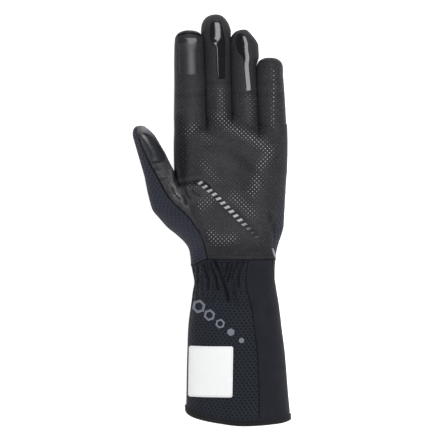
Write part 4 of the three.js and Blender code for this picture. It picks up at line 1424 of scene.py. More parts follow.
HAND_CREASES = (
    crease(1.8, 1.3, (174.5, 172), (175.5, 181), (178.5, 191)),
    crease(1.7, 1.6, (180, 185.5), (190, 183.6), (197.5, 182.7), (203, 184.4), (208, 188.5), shoulder=0.5),
    crease(0.5, 2.6, (208, 188.5), (222, 202), (238, 219), (253, 234)),
    crease(0.7, 3.2, (181, 120), (181.8, 150), (182, 181)),
    crease(0.9, 0.9, (184, 187), (186, 194), (190, 199), shoulder=0.6),
    crease(0.8, 0.9, (190, 186), (193, 193), (199, 196), shoulder=0.6),
    crease(0.9, 1.0, (180, 193), (184, 198), (186, 204), shoulder=0.6),
    crease(0.8, 0.9, (172, 188), (176, 196), (180, 199), shoulder=0.6),
    crease(0.25, 1.8, (240, 255), (248, 252.5), (256, 250.5), shoulder=0.1),
    crease(0.45, 3.6, (206, 146), (226, 152), (246, 166), (262, 182)),
    crease(0.35, 3.2, (196, 128), (214, 135), (236, 147)),
    crease(0.25, 2.0, (176, 96), (190, 98), (203, 96)),
    crease(0.3, 1.8, (207, 84), (218, 86), (229, 84)),
    crease(0.3, 1.8, (232, 95), (243, 97), (255, 95)),
    crease(0.25, 2.0, (259, 96), (270, 98), (282, 97)),
    crease(0.2, 1.4, (259, 84), (270, 86), (281, 84)),
    crease(0.3, 1.2, (144, 168), (152, 171), (160, 169)),
    crease(0.3, 1.2, (150, 178), (158, 181), (166, 178)),
    crease(0.6, 1.6, (268, 215), (273.5, 232), (275, 250)),
    crease(0.7, 0.9, (184, 37), (189, 33.8), (196, 34), (200.5, 37.5), shoulder=0.5),
    crease(-0.6, 1.5, (205.5, 31), (207, 24), (212, 19), (219, 17.5), shoulder=0.0),
    crease(-0.5, 1.3, (233, 42), (236, 37), (243, 34), shoulder=0.0),
    *(
        crease(0.6, 0.75, (229, rib), (233.2, rib + 1), shoulder=0.5)
        for rib in (39, 42, 45, 48, 51)
    ),
)
# Spots of painted light and shade on the leather: painted highlights at the thumb's crotch, on its cap and at
# the middle fingertip, painted shade on the palm's left side and at its heel.
HAND_PAINTED_SPOTS = (
    mound(192, 197, 9, 8, 0.45),
    mound(178, 193, 3, 7, 0.7),
    mound(183, 155, 3.5, 22, -0.45),
    mound(149, 132, 8, 4.5, 1.35),
    mound(145, 129.5, 3.4, 2.2, 1.5),
    mound(240, 252, 28, 5, -0.35),
    mound(216, 20, 8, 4, 0.5),
)
HAND_MOUNDS = (
    mound(222, 127, 9, 5, 0.9, -25),
    mound(246, 137, 9, 5, 1.0, -28),
    mound(266, 150, 7, 7, 0.9),
    mound(192, 131, 7, 6, 0.8),
    mound(256, 186, 9, 11, 0.9),
    mound(243, 206, 11, 6, 0.7, -42),
    mound(207, 204, 10, 6, 0.9, -15),
    mound(222, 241, 14, 6, 0.8),
    mound(228, 163, 16, 11, -1.0),
    mound(206, 172, 9, 8, 0.5),
)
CUFF_CREASES = (
    crease(1.4, 0.9, (197.6, 266), (198.2, 274), (198, 282)),
    crease(1.7, 0.9, (203, 264), (205, 271), (208.2, 279), (207.6, 288)),
    crease(1.9, 0.9, (210, 262.3), (211.7, 269.3), (215.2, 277.6), (217, 288)),
    crease(2.5, 1.2, (214, 261.5), (218.7, 270.5), (221, 278.7), (225.2, 289.3), (227, 299)),
    crease(1.9, 0.8, (227, 262.5), (225.2, 270.5), (222.6, 277.4)),
    crease(1.7, 0.8, (231.5, 262), (228.6, 272.9), (226, 280.7)),
    crease(1.6, 0.8, (237, 261.5), (233.2, 268.2), (231, 277)),
    crease(1.6, 0.9, (242.2, 261.5), (239.2, 268.2), (237, 277), (237.5, 286)),
    crease(1.2, 0.7, (206, 262), (207.5, 268), (211, 275)),
    crease(1.3, 0.7, (220, 262), (221.5, 267), (221.5, 272)),
    crease(1.2, 0.9, (193.5, 268), (194.5, 278), (194, 288)),
    crease(1, 0.9, (201.5, 274), (202.5, 284), (203, 293)),
    crease(0.72, 1.1, (212, 284), (213, 292), (212, 300)),
    crease(0.87, 1.2, (232, 282), (233, 292), (236, 303)),
    crease(0.36, 2.2, (196, 300), (204, 296), (214, 297)),
    crease(0.3, 3.0, (260, 262), (262, 290), (266, 330)),
    crease(0.36, 3.5, (246, 300), (243, 330), (246, 372)),
)
CUFF_MOUNDS = (
    mound(216, 316, 15, 14, 0.7),
    mound(240, 388, 12, 18, 0.6),
    mound(270, 380, 10, 30, 0.5),
)
# Bands of painted glints, where the dots are larger and painted paler: the line through measured places, its
# half width and its strength.
DOT_GLINT_BANDS = (
    (((219, 119), (233, 130), (247, 137), (258, 144), (268, 153)), 4.6, 1.0),
    (((268, 153), (264, 160), (259, 168)), 4.0, 0.9),
    (((203, 165), (209, 172), (217, 181)), 3.8, 0.55),
    (((256, 178), (255, 186), (251, 193)), 4.8, 0.9),
    (((233, 197), (243, 206), (250, 213)), 4.6, 0.9),
    (((200, 206), (207, 201), (213, 198)), 4.6, 0.8),
    (((210, 233), (216, 240), (232, 238)), 4.6, 0.85),
    (((271, 64), (273, 85), (272, 104), (271, 128)), 1.3, 0.9),
    (((220, 92), (222, 106), (224, 122)), 2.4, 0.8),
    (((247, 92), (250, 108), (249, 124)), 3.2, 0.5),
    (((189, 133), (195, 127)), 3.4, 0.85),
    (((202, 136), (209, 143)), 3.2, 0.5),
    (((160, 172), (164, 178)), 1.8, 0.4),
    (((170.5, 184.5), (174.5, 187.5)), 1.8, 0.8),
    (((176, 195.5), (182, 193.5)), 2.0, 1.0),
    (((186, 186), (191, 185.5), (196, 189)), 2.0, 0.6),
)
# Where dots are printed: the lanes' walls, each lane's top row, and the left edge as rows and columns.
LANE_WALLS = (205.3, 230.8, 257.3)
DOT_TOPS = np.array([84.0, 88.0, 96.0, 64.0])
DOT_LEFT = (
    (60, 176), (120, 178), (165, 181), (180, 189), (184, 186), (198, 186),
    (204, 197), (216, 200), (230, 206), (240, 209), (250, 212),
)
BAR_LINE = ((200, 183.5), (214, 195), (230, 211), (244, 225), (256, 236.5))
BARE_LINE = ((200, 183), (222, 203), (240, 221), (256, 236))


@dataclass
class HandPanel:
    """The palm leather or the knit back, each with its four finger halves in one cloth."""

    bench: Workbench
    form: HandForm
    side: Side
    wall: float = 1.7
    columns: int = 26
    palm_rows: int = 120
    finger_rows: int = 76
    tip_rows: int = 14

    def turns(self, y: Array, finger: int) -> Array:
        """Turns of a lane's columns: even steps between its two seams, the right one moved in by the wrap.

        Args:
            y: Places along, in one column.
            finger: The lane.

        Returns:
            Turns, rows by columns.
        """
        share = np.linspace(0, 1, self.columns + 1)[None, :] + 0 * y
        wrap = np.zeros(y.shape)
        if finger == 3:
            half = FINGERS[3].lane * (self.form.right(y) - self.form.border(y, Side.PALM)) / 2
            wrap = arc(1 - np.maximum(0, self.form.palm_side(y, "wrap")) / half)
        if self.side is Side.PALM:
            return (math.pi - wrap) * share
        return math.pi - wrap + (math.pi + wrap) * share

    def lane(self, finger: int, inset: float) -> Array:
        """Points of one lane from the hem to its crotch line, rows at even shares of that height."""
        form = self.form
        share = np.linspace(0, 1, self.palm_rows + 1)[:, None]
        phi = self.turns(mix(form.cuff_length, form.crotch(finger), share), finger)
        high = mix(form.crotch(finger), form.crotch(finger + 1), crossed(phi)) - inset
        return form.palm(mix(form.cuff_length + form.gap / 2, high, share), finger, phi, self.side, inset)

    def digit(self, finger: int, inset: float) -> Array:
        """Points of one finger: its root on the crotch line, straight rows, then the rounded tip.

        Args:
            finger: Which finger.
            inset: Depth under the skin.

        Returns:
            Points.
        """
        form = self.form
        phi = self.turns(np.full((1, 1), form.crotch(3) + 1), finger)
        low = mix(form.crotch(finger), form.crotch(finger + 1), crossed(phi))
        high = form.dome_start(finger)
        root = form.palm(low - inset, finger, phi, self.side, inset)
        share = np.linspace(0, 1, self.finger_rows + 1)[:, None]
        flat = np.zeros(1)
        straight = form.finger(finger, mix(low + form.crotch_step, high, share), flat, phi, self.side, inset)
        dome = np.linspace(0, math.pi / 2, self.tip_rows + 1)[1:, None]
        tip = form.finger(finger, np.full(dome.shape, high), dome, phi, self.side, inset)
        return np.concatenate([root, straight, tip])

    def build(self) -> None:
        """Lays the lanes side by side, sews the fingers on and closes the cloth."""
        order = (0, 1, 2, 3) if self.side is Side.PALM else (3, 2, 1, 0)
        outer = np.concatenate([self.lane(k, 0.0) for k in order], axis=1)
        inner = np.concatenate([self.lane(k, self.wall) for k in order], axis=1)
        cloth = measure(outer)
        shell = Shell()
        for place, k in enumerate(order):
            cut = slice(place * (self.columns + 1), (place + 1) * (self.columns + 1))
            shell.grid(outer[:, cut], inner[:, cut], cloth[:, cut])
            digit = self.digit(k, 0.0)
            shift = cloth[-1, cut][self.columns // 2] * np.array([1.0, 1.0])
            shell.grid(digit, self.digit(k, self.wall), measure(digit) + shift)
        points, faces, cloth = shell.close()
        if self.side is Side.PALM:
            # The tone carries the leather's painted light and shade: painted highlights on fold banks and
            # bright spots, painted shade in troughs and dark spots.
            tone = self.form.painted_light_and_shade(points[:, 0], points[:, 1])
            names = ("palm_panel", "palm_leather")
            self.bench.build("palm_leather_cloth", points, faces, LEATHER, *names, cloth, tone=tone)
        else:
            self.bench.build("back_knit_cloth", points, faces, BACK_KNIT, "back_panel", "back_knit", cloth)


@dataclass
class ThumbPanel:
    """The thumb's leather front or its knit back."""

    bench: Workbench
    form: HandForm
    side: Side
    wall: float = 1.7
    root_rows: int = 90
    free_rows: int = 44
    tip_rows: int = 14
    columns: int = 34
    foot: float = 0.21
    hem_run: float = 12.0
    tone_gain: float = 0.5
    tone_shift: float = 0.56

    def rows(self) -> Pair:
        """Heights of the rows and their angles over the rounded tip."""
        form = self.form
        low = form.cuff_length + (self.foot * form.palm_length if self.side is Side.PALM else form.gap / 2)
        high = form.thumb_dome()
        root = np.linspace(low, form.thumb_crotch, self.root_rows + 1)
        free = np.linspace(form.thumb_crotch, high, self.free_rows + 1)[1:]
        dome = np.linspace(0, math.pi / 2, self.tip_rows + 1)[1:]
        y = np.concatenate([root, free, np.full(self.tip_rows, high)])
        return y[:, None], np.concatenate([np.zeros(len(root) + len(free)), dome])[:, None]

    def points(self, inset: float) -> Array:
        """Points of the panel, its lower end drawn down to the wrist seam.

        Args:
            inset: Depth under the skin.

        Returns:
            Points.
        """
        form = self.form
        y, dome = self.rows()
        seam = form.thumb_seam(y)
        share = np.linspace(0, 1, self.columns + 1)[None, :]
        phi = mix(seam, math.pi, share) if self.side is Side.PALM else mix(-math.pi, seam, share)
        skin = form.thumb(y, dome, phi, self.side, inset)
        if self.side is Side.BACK:
            turn = arc((form.wrist_centre - skin[..., 0]) / form.wrist_half)
            skin[..., 1] -= form.wrist_point(turn) * (1 - smooth((y - form.cuff_length) / self.hem_run))
        return skin

    def build(self) -> None:
        """Closes the panel and dresses it."""
        points, faces, cloth = Shell().grid(self.points(0.0), self.points(self.wall)).close()
        if self.side is Side.PALM:
            # The thumb takes half of the painted light and shade, lowered by a constant, so its pale light
            # colour shows mostly in the painted highlight on the cap.
            tone = self.tone_gain * self.form.painted_light_and_shade(points[:, 0], points[:, 1]) - self.tone_shift
            names = ("thumb_front", "palm_leather")
            self.bench.build("thumb_leather_cloth", points, faces, THUMB_LEATHER, *names, cloth, tone=tone)
        else:
            self.bench.build("thumb_knit_cloth", points, faces, BACK_KNIT, "thumb_back", "back_knit", cloth)


@dataclass
class Cuff:
    """The cuff: gathered honeycomb mesh, stretch panel, hem tape, label and raised print."""

    bench: Workbench
    form: CuffForm
    wall: float = 1.5
    rows: int = 130
    samples: int = 14
    side_columns: int = 60
    tape_height: float = 4.6
    tape_wall: float = 0.6
    label_height: float = 38.8
    label_width: float = 34.0
    label_down: float = 0.69
    label_start: float = 0.08

    def mesh(self) -> None:
        """The mesh, its gathers a cosine round the wrist whose depth and place wander from fold to fold."""
        form = self.form
        columns = form.gathers * self.samples
        down = np.linspace(1, 0, self.rows + 1)[:, None] ** 1.15
        start = -math.pi * (2 - CUFF_SECTIONS.read("back_seam", down)) + 0.002
        stop = math.pi * CUFF_SECTIONS.read("seam", down) - 0.002
        share = np.linspace(0, 1, columns + 1)[None, :]
        turn = mix(start, stop, share)
        wander = 0.5 * np.sin(37 * share + 5 * down) + 0.35 * np.sin(83 * share - 11 * down)
        fold = np.cos(2 * math.pi * form.gathers * share + wander * 1.6)
        fork = np.cos(2 * math.pi * 2.0 * form.gathers * share + 1.3 * wander + 0.7)
        near = 1 - smooth((down - 0.03) / 0.07)
        fade = smooth(np.minimum(share, 1 - share) * form.gathers)
        gather = CUFF_SECTIONS.read("gather", down) * (0.8 + 0.35 * np.sin(29 * share + 1.0))
        ripple = form.gather_depth * ((fold - 1) * 0.5 * gather + 0.35 * (fork - 1) * near * gather) * fade
        outer = form.skin(down, turn, 0.0, ripple)
        inner = form.skin(down, turn, self.wall, ripple)
        points, faces, cloth = Shell().grid(outer, inner).close()
        # Painted shade: the tone grows with a point's depth under the plain form, in the gathers' valleys
        # near the wrist.
        plan = form.front_turn(points[:, 0], points[:, 1])
        depth = form.point(*plan, 0.0)[..., 1] - points[:, 2]
        upper = smooth((points[:, 1] - form.length + 48) / 14)
        tone = np.where(depth < 3.6, np.clip(depth / 2.8, 0, 1) * upper, 0.0)
        names = ("cuff_mesh", "cuff_mesh")
        self.bench.build("cuff_mesh_cloth", points, faces, CUFF_HONEYCOMB, *names, cloth, tone=tone)

    def panel(self) -> None:
        """The stretch panel between its two seams, plain round the right side."""
        down = np.linspace(1, 0, self.rows + 1)[:, None]
        start = math.pi * CUFF_SECTIONS.read("seam", down) + 0.002
        stop = math.pi * CUFF_SECTIONS.read("back_seam", down) - 0.002
        turn = mix(start, stop, np.linspace(0, 1, self.side_columns + 1)[None, :])
        outer, inner = self.form.skin(down, turn, 0.0), self.form.skin(down, turn, self.wall)
        points, faces, cloth = Shell().grid(outer, inner).close()
        names = ("cuff_side_panel", "stretch_panel")
        self.bench.build("stretch_panel_cloth", points, faces, STRETCH, *names, cloth)

    def tape(self) -> None:
        """The hem tape: a rounded U section carried round the cuff's mouth, open to the wrist."""
        form, wall = self.form, self.tape_wall
        out, inn = -(0.2 + wall), self.wall + form.tape_gap + wall
        middle, half = (out + inn) / 2, (inn - out) / 2
        bend = np.linspace(math.pi, 2 * math.pi, 15)
        low = np.stack([middle + half * np.cos(bend), wall * (1 + np.sin(bend))], -1)
        inner = bend[::-1]
        hollow = np.stack([middle + (half - wall) * np.cos(inner), wall + 0.4 * (1 + np.sin(inner))], -1)
        left = np.stack([np.full(7, out), np.linspace(self.tape_height, wall, 8)[:-1]], -1)
        right = np.stack([np.full(7, inn), np.linspace(wall, self.tape_height, 8)[1:]], -1)
        inside = np.array([[inn - wall, self.tape_height]])
        other = np.array([[out + wall, self.tape_height]])
        profile = np.concatenate([left, low, right, inside, hollow, other])
        turn = np.linspace(0, 2 * math.pi, 241)[:-1]
        rise = profile[None, :, 1] + 0 * turn[:, None]
        flat = form.point(1 - rise / form.length, turn[:, None] + 0 * rise, profile[None, :, 0])
        points = np.stack([flat[..., 0], form.hem(turn)[:, None] + rise, flat[..., 1]], -1)
        count, sides = len(turn), len(profile)
        here = (np.arange(count)[:, None] * sides + np.arange(sides)[None]).astype(int)
        ahead, other_side = np.roll(here, -1, axis=0), np.roll(here, -1, axis=1)
        both = np.roll(ahead, -1, axis=1)
        faces = np.concatenate([np.stack([here, both, ahead], -1), np.stack([here, other_side, both], -1)])
        run = np.concatenate([[0], np.cumsum(np.linalg.norm(np.diff(points[:, 0], axis=0), axis=-1))])
        cloth = np.stack([run[:, None] + 0 * rise, rise], -1).reshape(-1, 2)
        points, faces = points.reshape(-1, 3), faces.reshape(-1, 3)
        self.bench.build("hem_tape", points, faces, TAPE, "hem_binding", "binding", cloth)

    def label_place(self, up: Array, across: Array) -> Pair:
        """Plan points of the label, which hangs from a line a share of a half turn round the cuff.

        Args:
            up: Places from -1 to 1 up the label.
            across: Places from -1 to 1 across it.

        Returns:
            Places across and along the glove.
        """
        form = self.form
        middle = float(form.along(np.array(self.label_down), np.array(1.0), 0.0))
        y = middle + self.label_height / 2 * up + 0 * across
        down = 1 - y / form.length
        inward = 1 - math.cos(math.pi * self.label_start)
        left = form.centre(down) - form.half(down) * (1 - inward)
        return left + self.label_width * (1 + across) / 2, y

    def label(self) -> None:
        """The blank label: a rounded square that follows the cuff, with a puffed edge and four seams."""
        rows = np.linspace(-1, 1, 49)[:, None]
        columns = np.linspace(-1, 1, 53)[None, :]
        corner = 0.09
        over = np.maximum(np.abs(rows) - (1 - corner), 0) / corner
        pull = 1 - 0.06 * (1 - np.sqrt(np.clip(1 - over**2, 0, 1)))
        x, y = self.label_place(rows, columns * pull)
        edge = np.minimum(1 - np.abs(rows), 1 - np.abs(columns)) * 18
        lift = 0.5 + 0.45 * np.clip(edge, 0, 1) ** 0.5 + 0.1 * np.sin(2.1 * rows + 1.2 * columns)
        outer, inner = self.form.front(x, y, 0.0), self.form.front(x, y, 0.0)
        outer[..., 2] += lift
        inner[..., 2] += 0.3
        points, faces, cloth = Shell().grid(outer, inner).close()
        self.bench.build("blank_label", points, faces, LABEL, "label_patch", "label", cloth)
        seam = []
        run = np.linspace(-0.93, 0.93, 60)
        level = 0 * run
        sides = ((run, level - 0.93), (level + 0.94, run), (-run, level + 0.93), (level - 0.94, -run))
        for up, across in sides:
            line = self.form.front(*self.label_place(up, across), 0.0)
            line[:, 2] += 0.95
            seam.append(stitches(line, np.array([[0, 0, 1.0]]) + 0 * line, 1.25, 1.0, 0.16))
        self.bench.build("label_stitches", *joined(seam), PALE_THREAD, slot="label")

    def marks(self) -> None:
        """A slanting row of plain six-sided rings in raised ink, each smaller than the one before.

        A ring's edge lies at its radius times the cosine of 30 degrees over the cosine of the turn from its
        side.
        """
        shell = Shell()
        turn = np.linspace(2 * math.pi, 0, 61)[None, :]
        side = math.cos(math.pi / 6) / np.cos(np.mod(turn, math.pi / 3) - math.pi / 6)
        for share in np.linspace(0, 1, 5):
            x0, y0 = spot(198.5 + 42 * share, 305 + 33 * share)
            radius = 5.4 - 3.2 * share
            reach = radius * mix(0.6 - 0.6 * (share > 0.7), 1.0, np.linspace(0, 1, 6))[:, None]
            x, y = x0 + reach * side * np.cos(turn + 0.3), y0 + reach * side * np.sin(turn + 0.3)
            outer, inner = self.form.front(x, y, 0.0), self.form.front(x, y, 0.0)
            outer[..., 2] += 0.3
            inner[..., 2] += 0.02
            shell.grid(outer, inner)
        points, faces, cloth = shell.close()
        tone = np.full(len(points), 0.5)
        self.bench.build("cuff_ring_marks", points, faces, INK, slot="cuff_mesh", cloth=cloth, tone=tone)

    def seams(self) -> None:
        """The wrist welt, the dark cords of the panel's seams, and the tape's stitches."""
        form = self.form
        turn = np.linspace(-math.pi, math.pi, 260)[:-1]
        down = np.full(turn.shape, 0.002)
        line = form.skin(down, turn, 0.15)
        out = line - form.skin(down, turn, 1.0)
        parts = [tube(line, out, 0.55, 0.5)]
        rows = np.linspace(0.004, 0.965, 160)
        for name in ("seam", "back_seam"):
            around = math.pi * CUFF_SECTIONS.read(name, rows)
            line = form.skin(rows, around, 0.1)
            parts.append(tube(line, line - form.skin(rows, around, 1.0), 0.6, 0.3))
        self.bench.build("cuff_welts", *joined(parts), DARK_THREAD, slot="stretch_panel")
        turn = np.linspace(-math.pi, math.pi, 300)[:-1]
        rise = 3.6
        flat = form.point(np.full(turn.shape, 1 - rise / form.length), turn, -0.84)
        line = np.stack([flat[:, 0], form.hem(turn) + rise, flat[:, 1]], -1)
        flat = form.point(np.full(turn.shape, 1 - rise / form.length), turn, 0.0)
        out = line - np.stack([flat[:, 0], line[:, 1], flat[:, 1]], -1)
        keep = line[:, 2] > 0.5
        row = stitches(line[keep], out[keep], 1.7, 1.35, 0.17)
        self.bench.build("hem_stitches", *row, DARK_THREAD, slot="binding")

    def build(self) -> None:
        """Makes the cuff's pieces in order."""
        self.mesh()
        self.panel()
        self.tape()
        self.label()
        self.marks()
        self.seams()


# A film's edges at a share of its length: turns in half turns, then how far it leans and how flat it lies.
FILM_EDGES = "at start end lean flat"
NEVER_DULL = 430.0


@dataclass(frozen=True)
class Film:
    """A finger's film: its two ends as shares of the finger, and the sheet's row below which it is dull."""

    finger: int
    low: float
    high: float
    edges: Table
    finish: Gloss
    dull: float = NEVER_DULL


FILMS = (
    Film(0, 0.49, 0.905, Table(FILM_EDGES, [
        (0, 0.36, 0.62, -0.3, 0.0), (0.04, 0.3, 0.67, -0.3, 0.0), (0.6, 0.28, 0.68, -0.4, 0.0),
        (0.85, 0.28, 0.7, -0.8, 0.8), (0.93, 0.28, 0.7, -0.8, 1.0), (0.98, 0.32, 0.67, -0.8, 0.9),
        (1, 0.37, 0.63, -0.8, 0.8),
    ]), PALE_FILM, 44.5),
    Film(1, 0.36, 0.93, Table(FILM_EDGES, [
        (0, 0.5, 0.67, -1.5, 0), (0.537, 0.487, 0.7, -1.6, 0), (0.607, 0.43, 0.7, -2.3, 0),
        (0.65, 0.4, 0.695, -1.6, 0), (0.69, 0.38, 0.69, -0.7, 0), (0.72, 0.37, 0.68, -0.2, 0),
        (0.75, 0.365, 0.675, 0, 0), (0.86, 0.37, 0.66, 0, 0), (0.96, 0.4, 0.645, 0, 0),
        (0.985, 0.43, 0.625, 0, 0), (1, 0.48, 0.58, 0, 0),
    ]), FILM),
    Film(2, 0.31, 0.95, Table(FILM_EDGES, [
        (0, 0.55, 0.668, 0.5, 0), (0.5, 0.5, 0.622, 0.3, 0), (0.56, 0.475, 0.615, 0.25, 0),
        (0.62, 0.425, 0.605, 0.1, 0), (0.7, 0.345, 0.597, 0, 0), (0.78, 0.31, 0.595, 0, 0),
        (0.9, 0.305, 0.592, 0, 0), (0.96, 0.335, 0.575, 0, 0), (0.985, 0.365, 0.55, 0, 0),
        (1, 0.41, 0.51, 0, 0),
    ]), FILM),
)
THUMB_EDGES = Table("rise start end", [
    (0.17, 0.45, 0.58), (0.215, 0.44, 0.73), (0.386, 0.44, 0.85), (0.49, 0.435, 0.87),
    (0.6, 0.42, 0.84), (0.7, 0.4, 0.78), (0.8, 0.385, 0.7), (0.86, 0.43, 0.6),
])


@dataclass
class GripPatches:
    """Glossy films over the fingertips and the thumb."""

    bench: Workbench
    form: HandForm
    rows: int = 60
    columns: int = 24
    thick: float = 0.28
    least: float = 0.1
    clear: float = 0.02
    end_slope: float = 14.0
    side_slope: float = 18.0
    lean_power: float = 1.5
    thumb_lip: float = 1.4
    dull_run: float = 2.5

    def height(self) -> tuple[Array, Array, Array]:
        """Shares along and across, and the film's height: flat with a soft rounded edge."""
        along = np.linspace(0, 1, self.rows + 1)[:, None]
        across = crossed(math.pi * np.linspace(0, 1, self.columns + 1)[None, :])
        ends, sides = np.minimum(along, 1 - along), np.minimum(across, 1 - across)
        edge = np.minimum(ends * self.end_slope, sides * self.side_slope)
        return along, across, self.least + self.thick * np.clip(edge, 0, 1) ** 0.5

    def finger(self, film: Film, over: float) -> Array:
        """Points of a finger's film; a lean raises its right side, or its left where it is below 0.

        Args:
            film: The film.
            over: 1 for its outer face, -1 for the face under the skin.

        Returns:
            Points.
        """
        form, one, edges = self.form, FINGERS[film.finger], film.edges
        along, across, thick = self.height()
        y = form.finger_base(film.finger) + one.length * mix(film.low, film.high, along)
        phi = math.pi * mix(edges.read("start", along), edges.read("end", along), across)
        lean, flat = edges.read("lean", along) * (over > 0), edges.read("flat", along) * (over > 0)
        right, left = across**self.lean_power, (1 - across) ** self.lean_power
        raised = np.maximum(lean, 0) * right + np.maximum(-lean, 0) * left
        raised = raised + flat * (2 * across - 1) ** 2
        inset = -thick * over - raised - self.clear
        top = form.dome_start(film.finger)
        reach = one.rows.rows[-1, 2] * form.palm_width * one.tip - inset
        dome = dome_angle(np.maximum(y - top, 0) / reach)
        return form.finger(film.finger, np.minimum(y, top), dome, phi, Side.PALM, inset)

    def thumb(self, over: float) -> Array:
        """Points of the thumb's oval film, whose left side stands up as a lip.

        Args:
            over: 1 for its outer face, -1 for the face under the skin.

        Returns:
            Points.
        """
        form, places = self.form, THUMB_EDGES.rows[:, 0]
        along, across, thick = self.height()
        rise = mix(places[0], places[-1], along)
        y = form.thumb_crotch + form.thumb_length * rise
        phi = math.pi * mix(THUMB_EDGES.read("start", rise), THUMB_EDGES.read("end", rise), across)
        lip = (over > 0) * self.thumb_lip * (1 - across) ** self.lean_power
        inset = -thick * over - self.clear - lip
        top = form.thumb_dome()
        dome = dome_angle(np.maximum(y - top, 0) / (form.thumb_reach - inset))
        return form.thumb(np.minimum(y, top), dome, phi, Side.PALM, inset)

    def build(self) -> None:
        """Makes the four films."""
        for film in FILMS:
            name = FINGERS[film.finger].name
            points, faces, cloth = Shell().grid(self.finger(film, 1.0), self.finger(film, -1.0)).close()
            tone = smooth((spot(0, film.dull)[1] - points[:, 1]) / self.dull_run)
            names = (f"grip_patch_{name}", "grip_gloss")
            self.bench.build(f"{name}_grip_film", points, faces, film.finish, *names, cloth, tone=tone)
        points, faces, cloth = Shell().grid(self.thumb(1.0), self.thumb(-1.0)).close()
        names = ("grip_patch_thumb", "grip_gloss")
        self.bench.build("thumb_grip_film", points, faces, THUMB_FILM, *names, cloth)


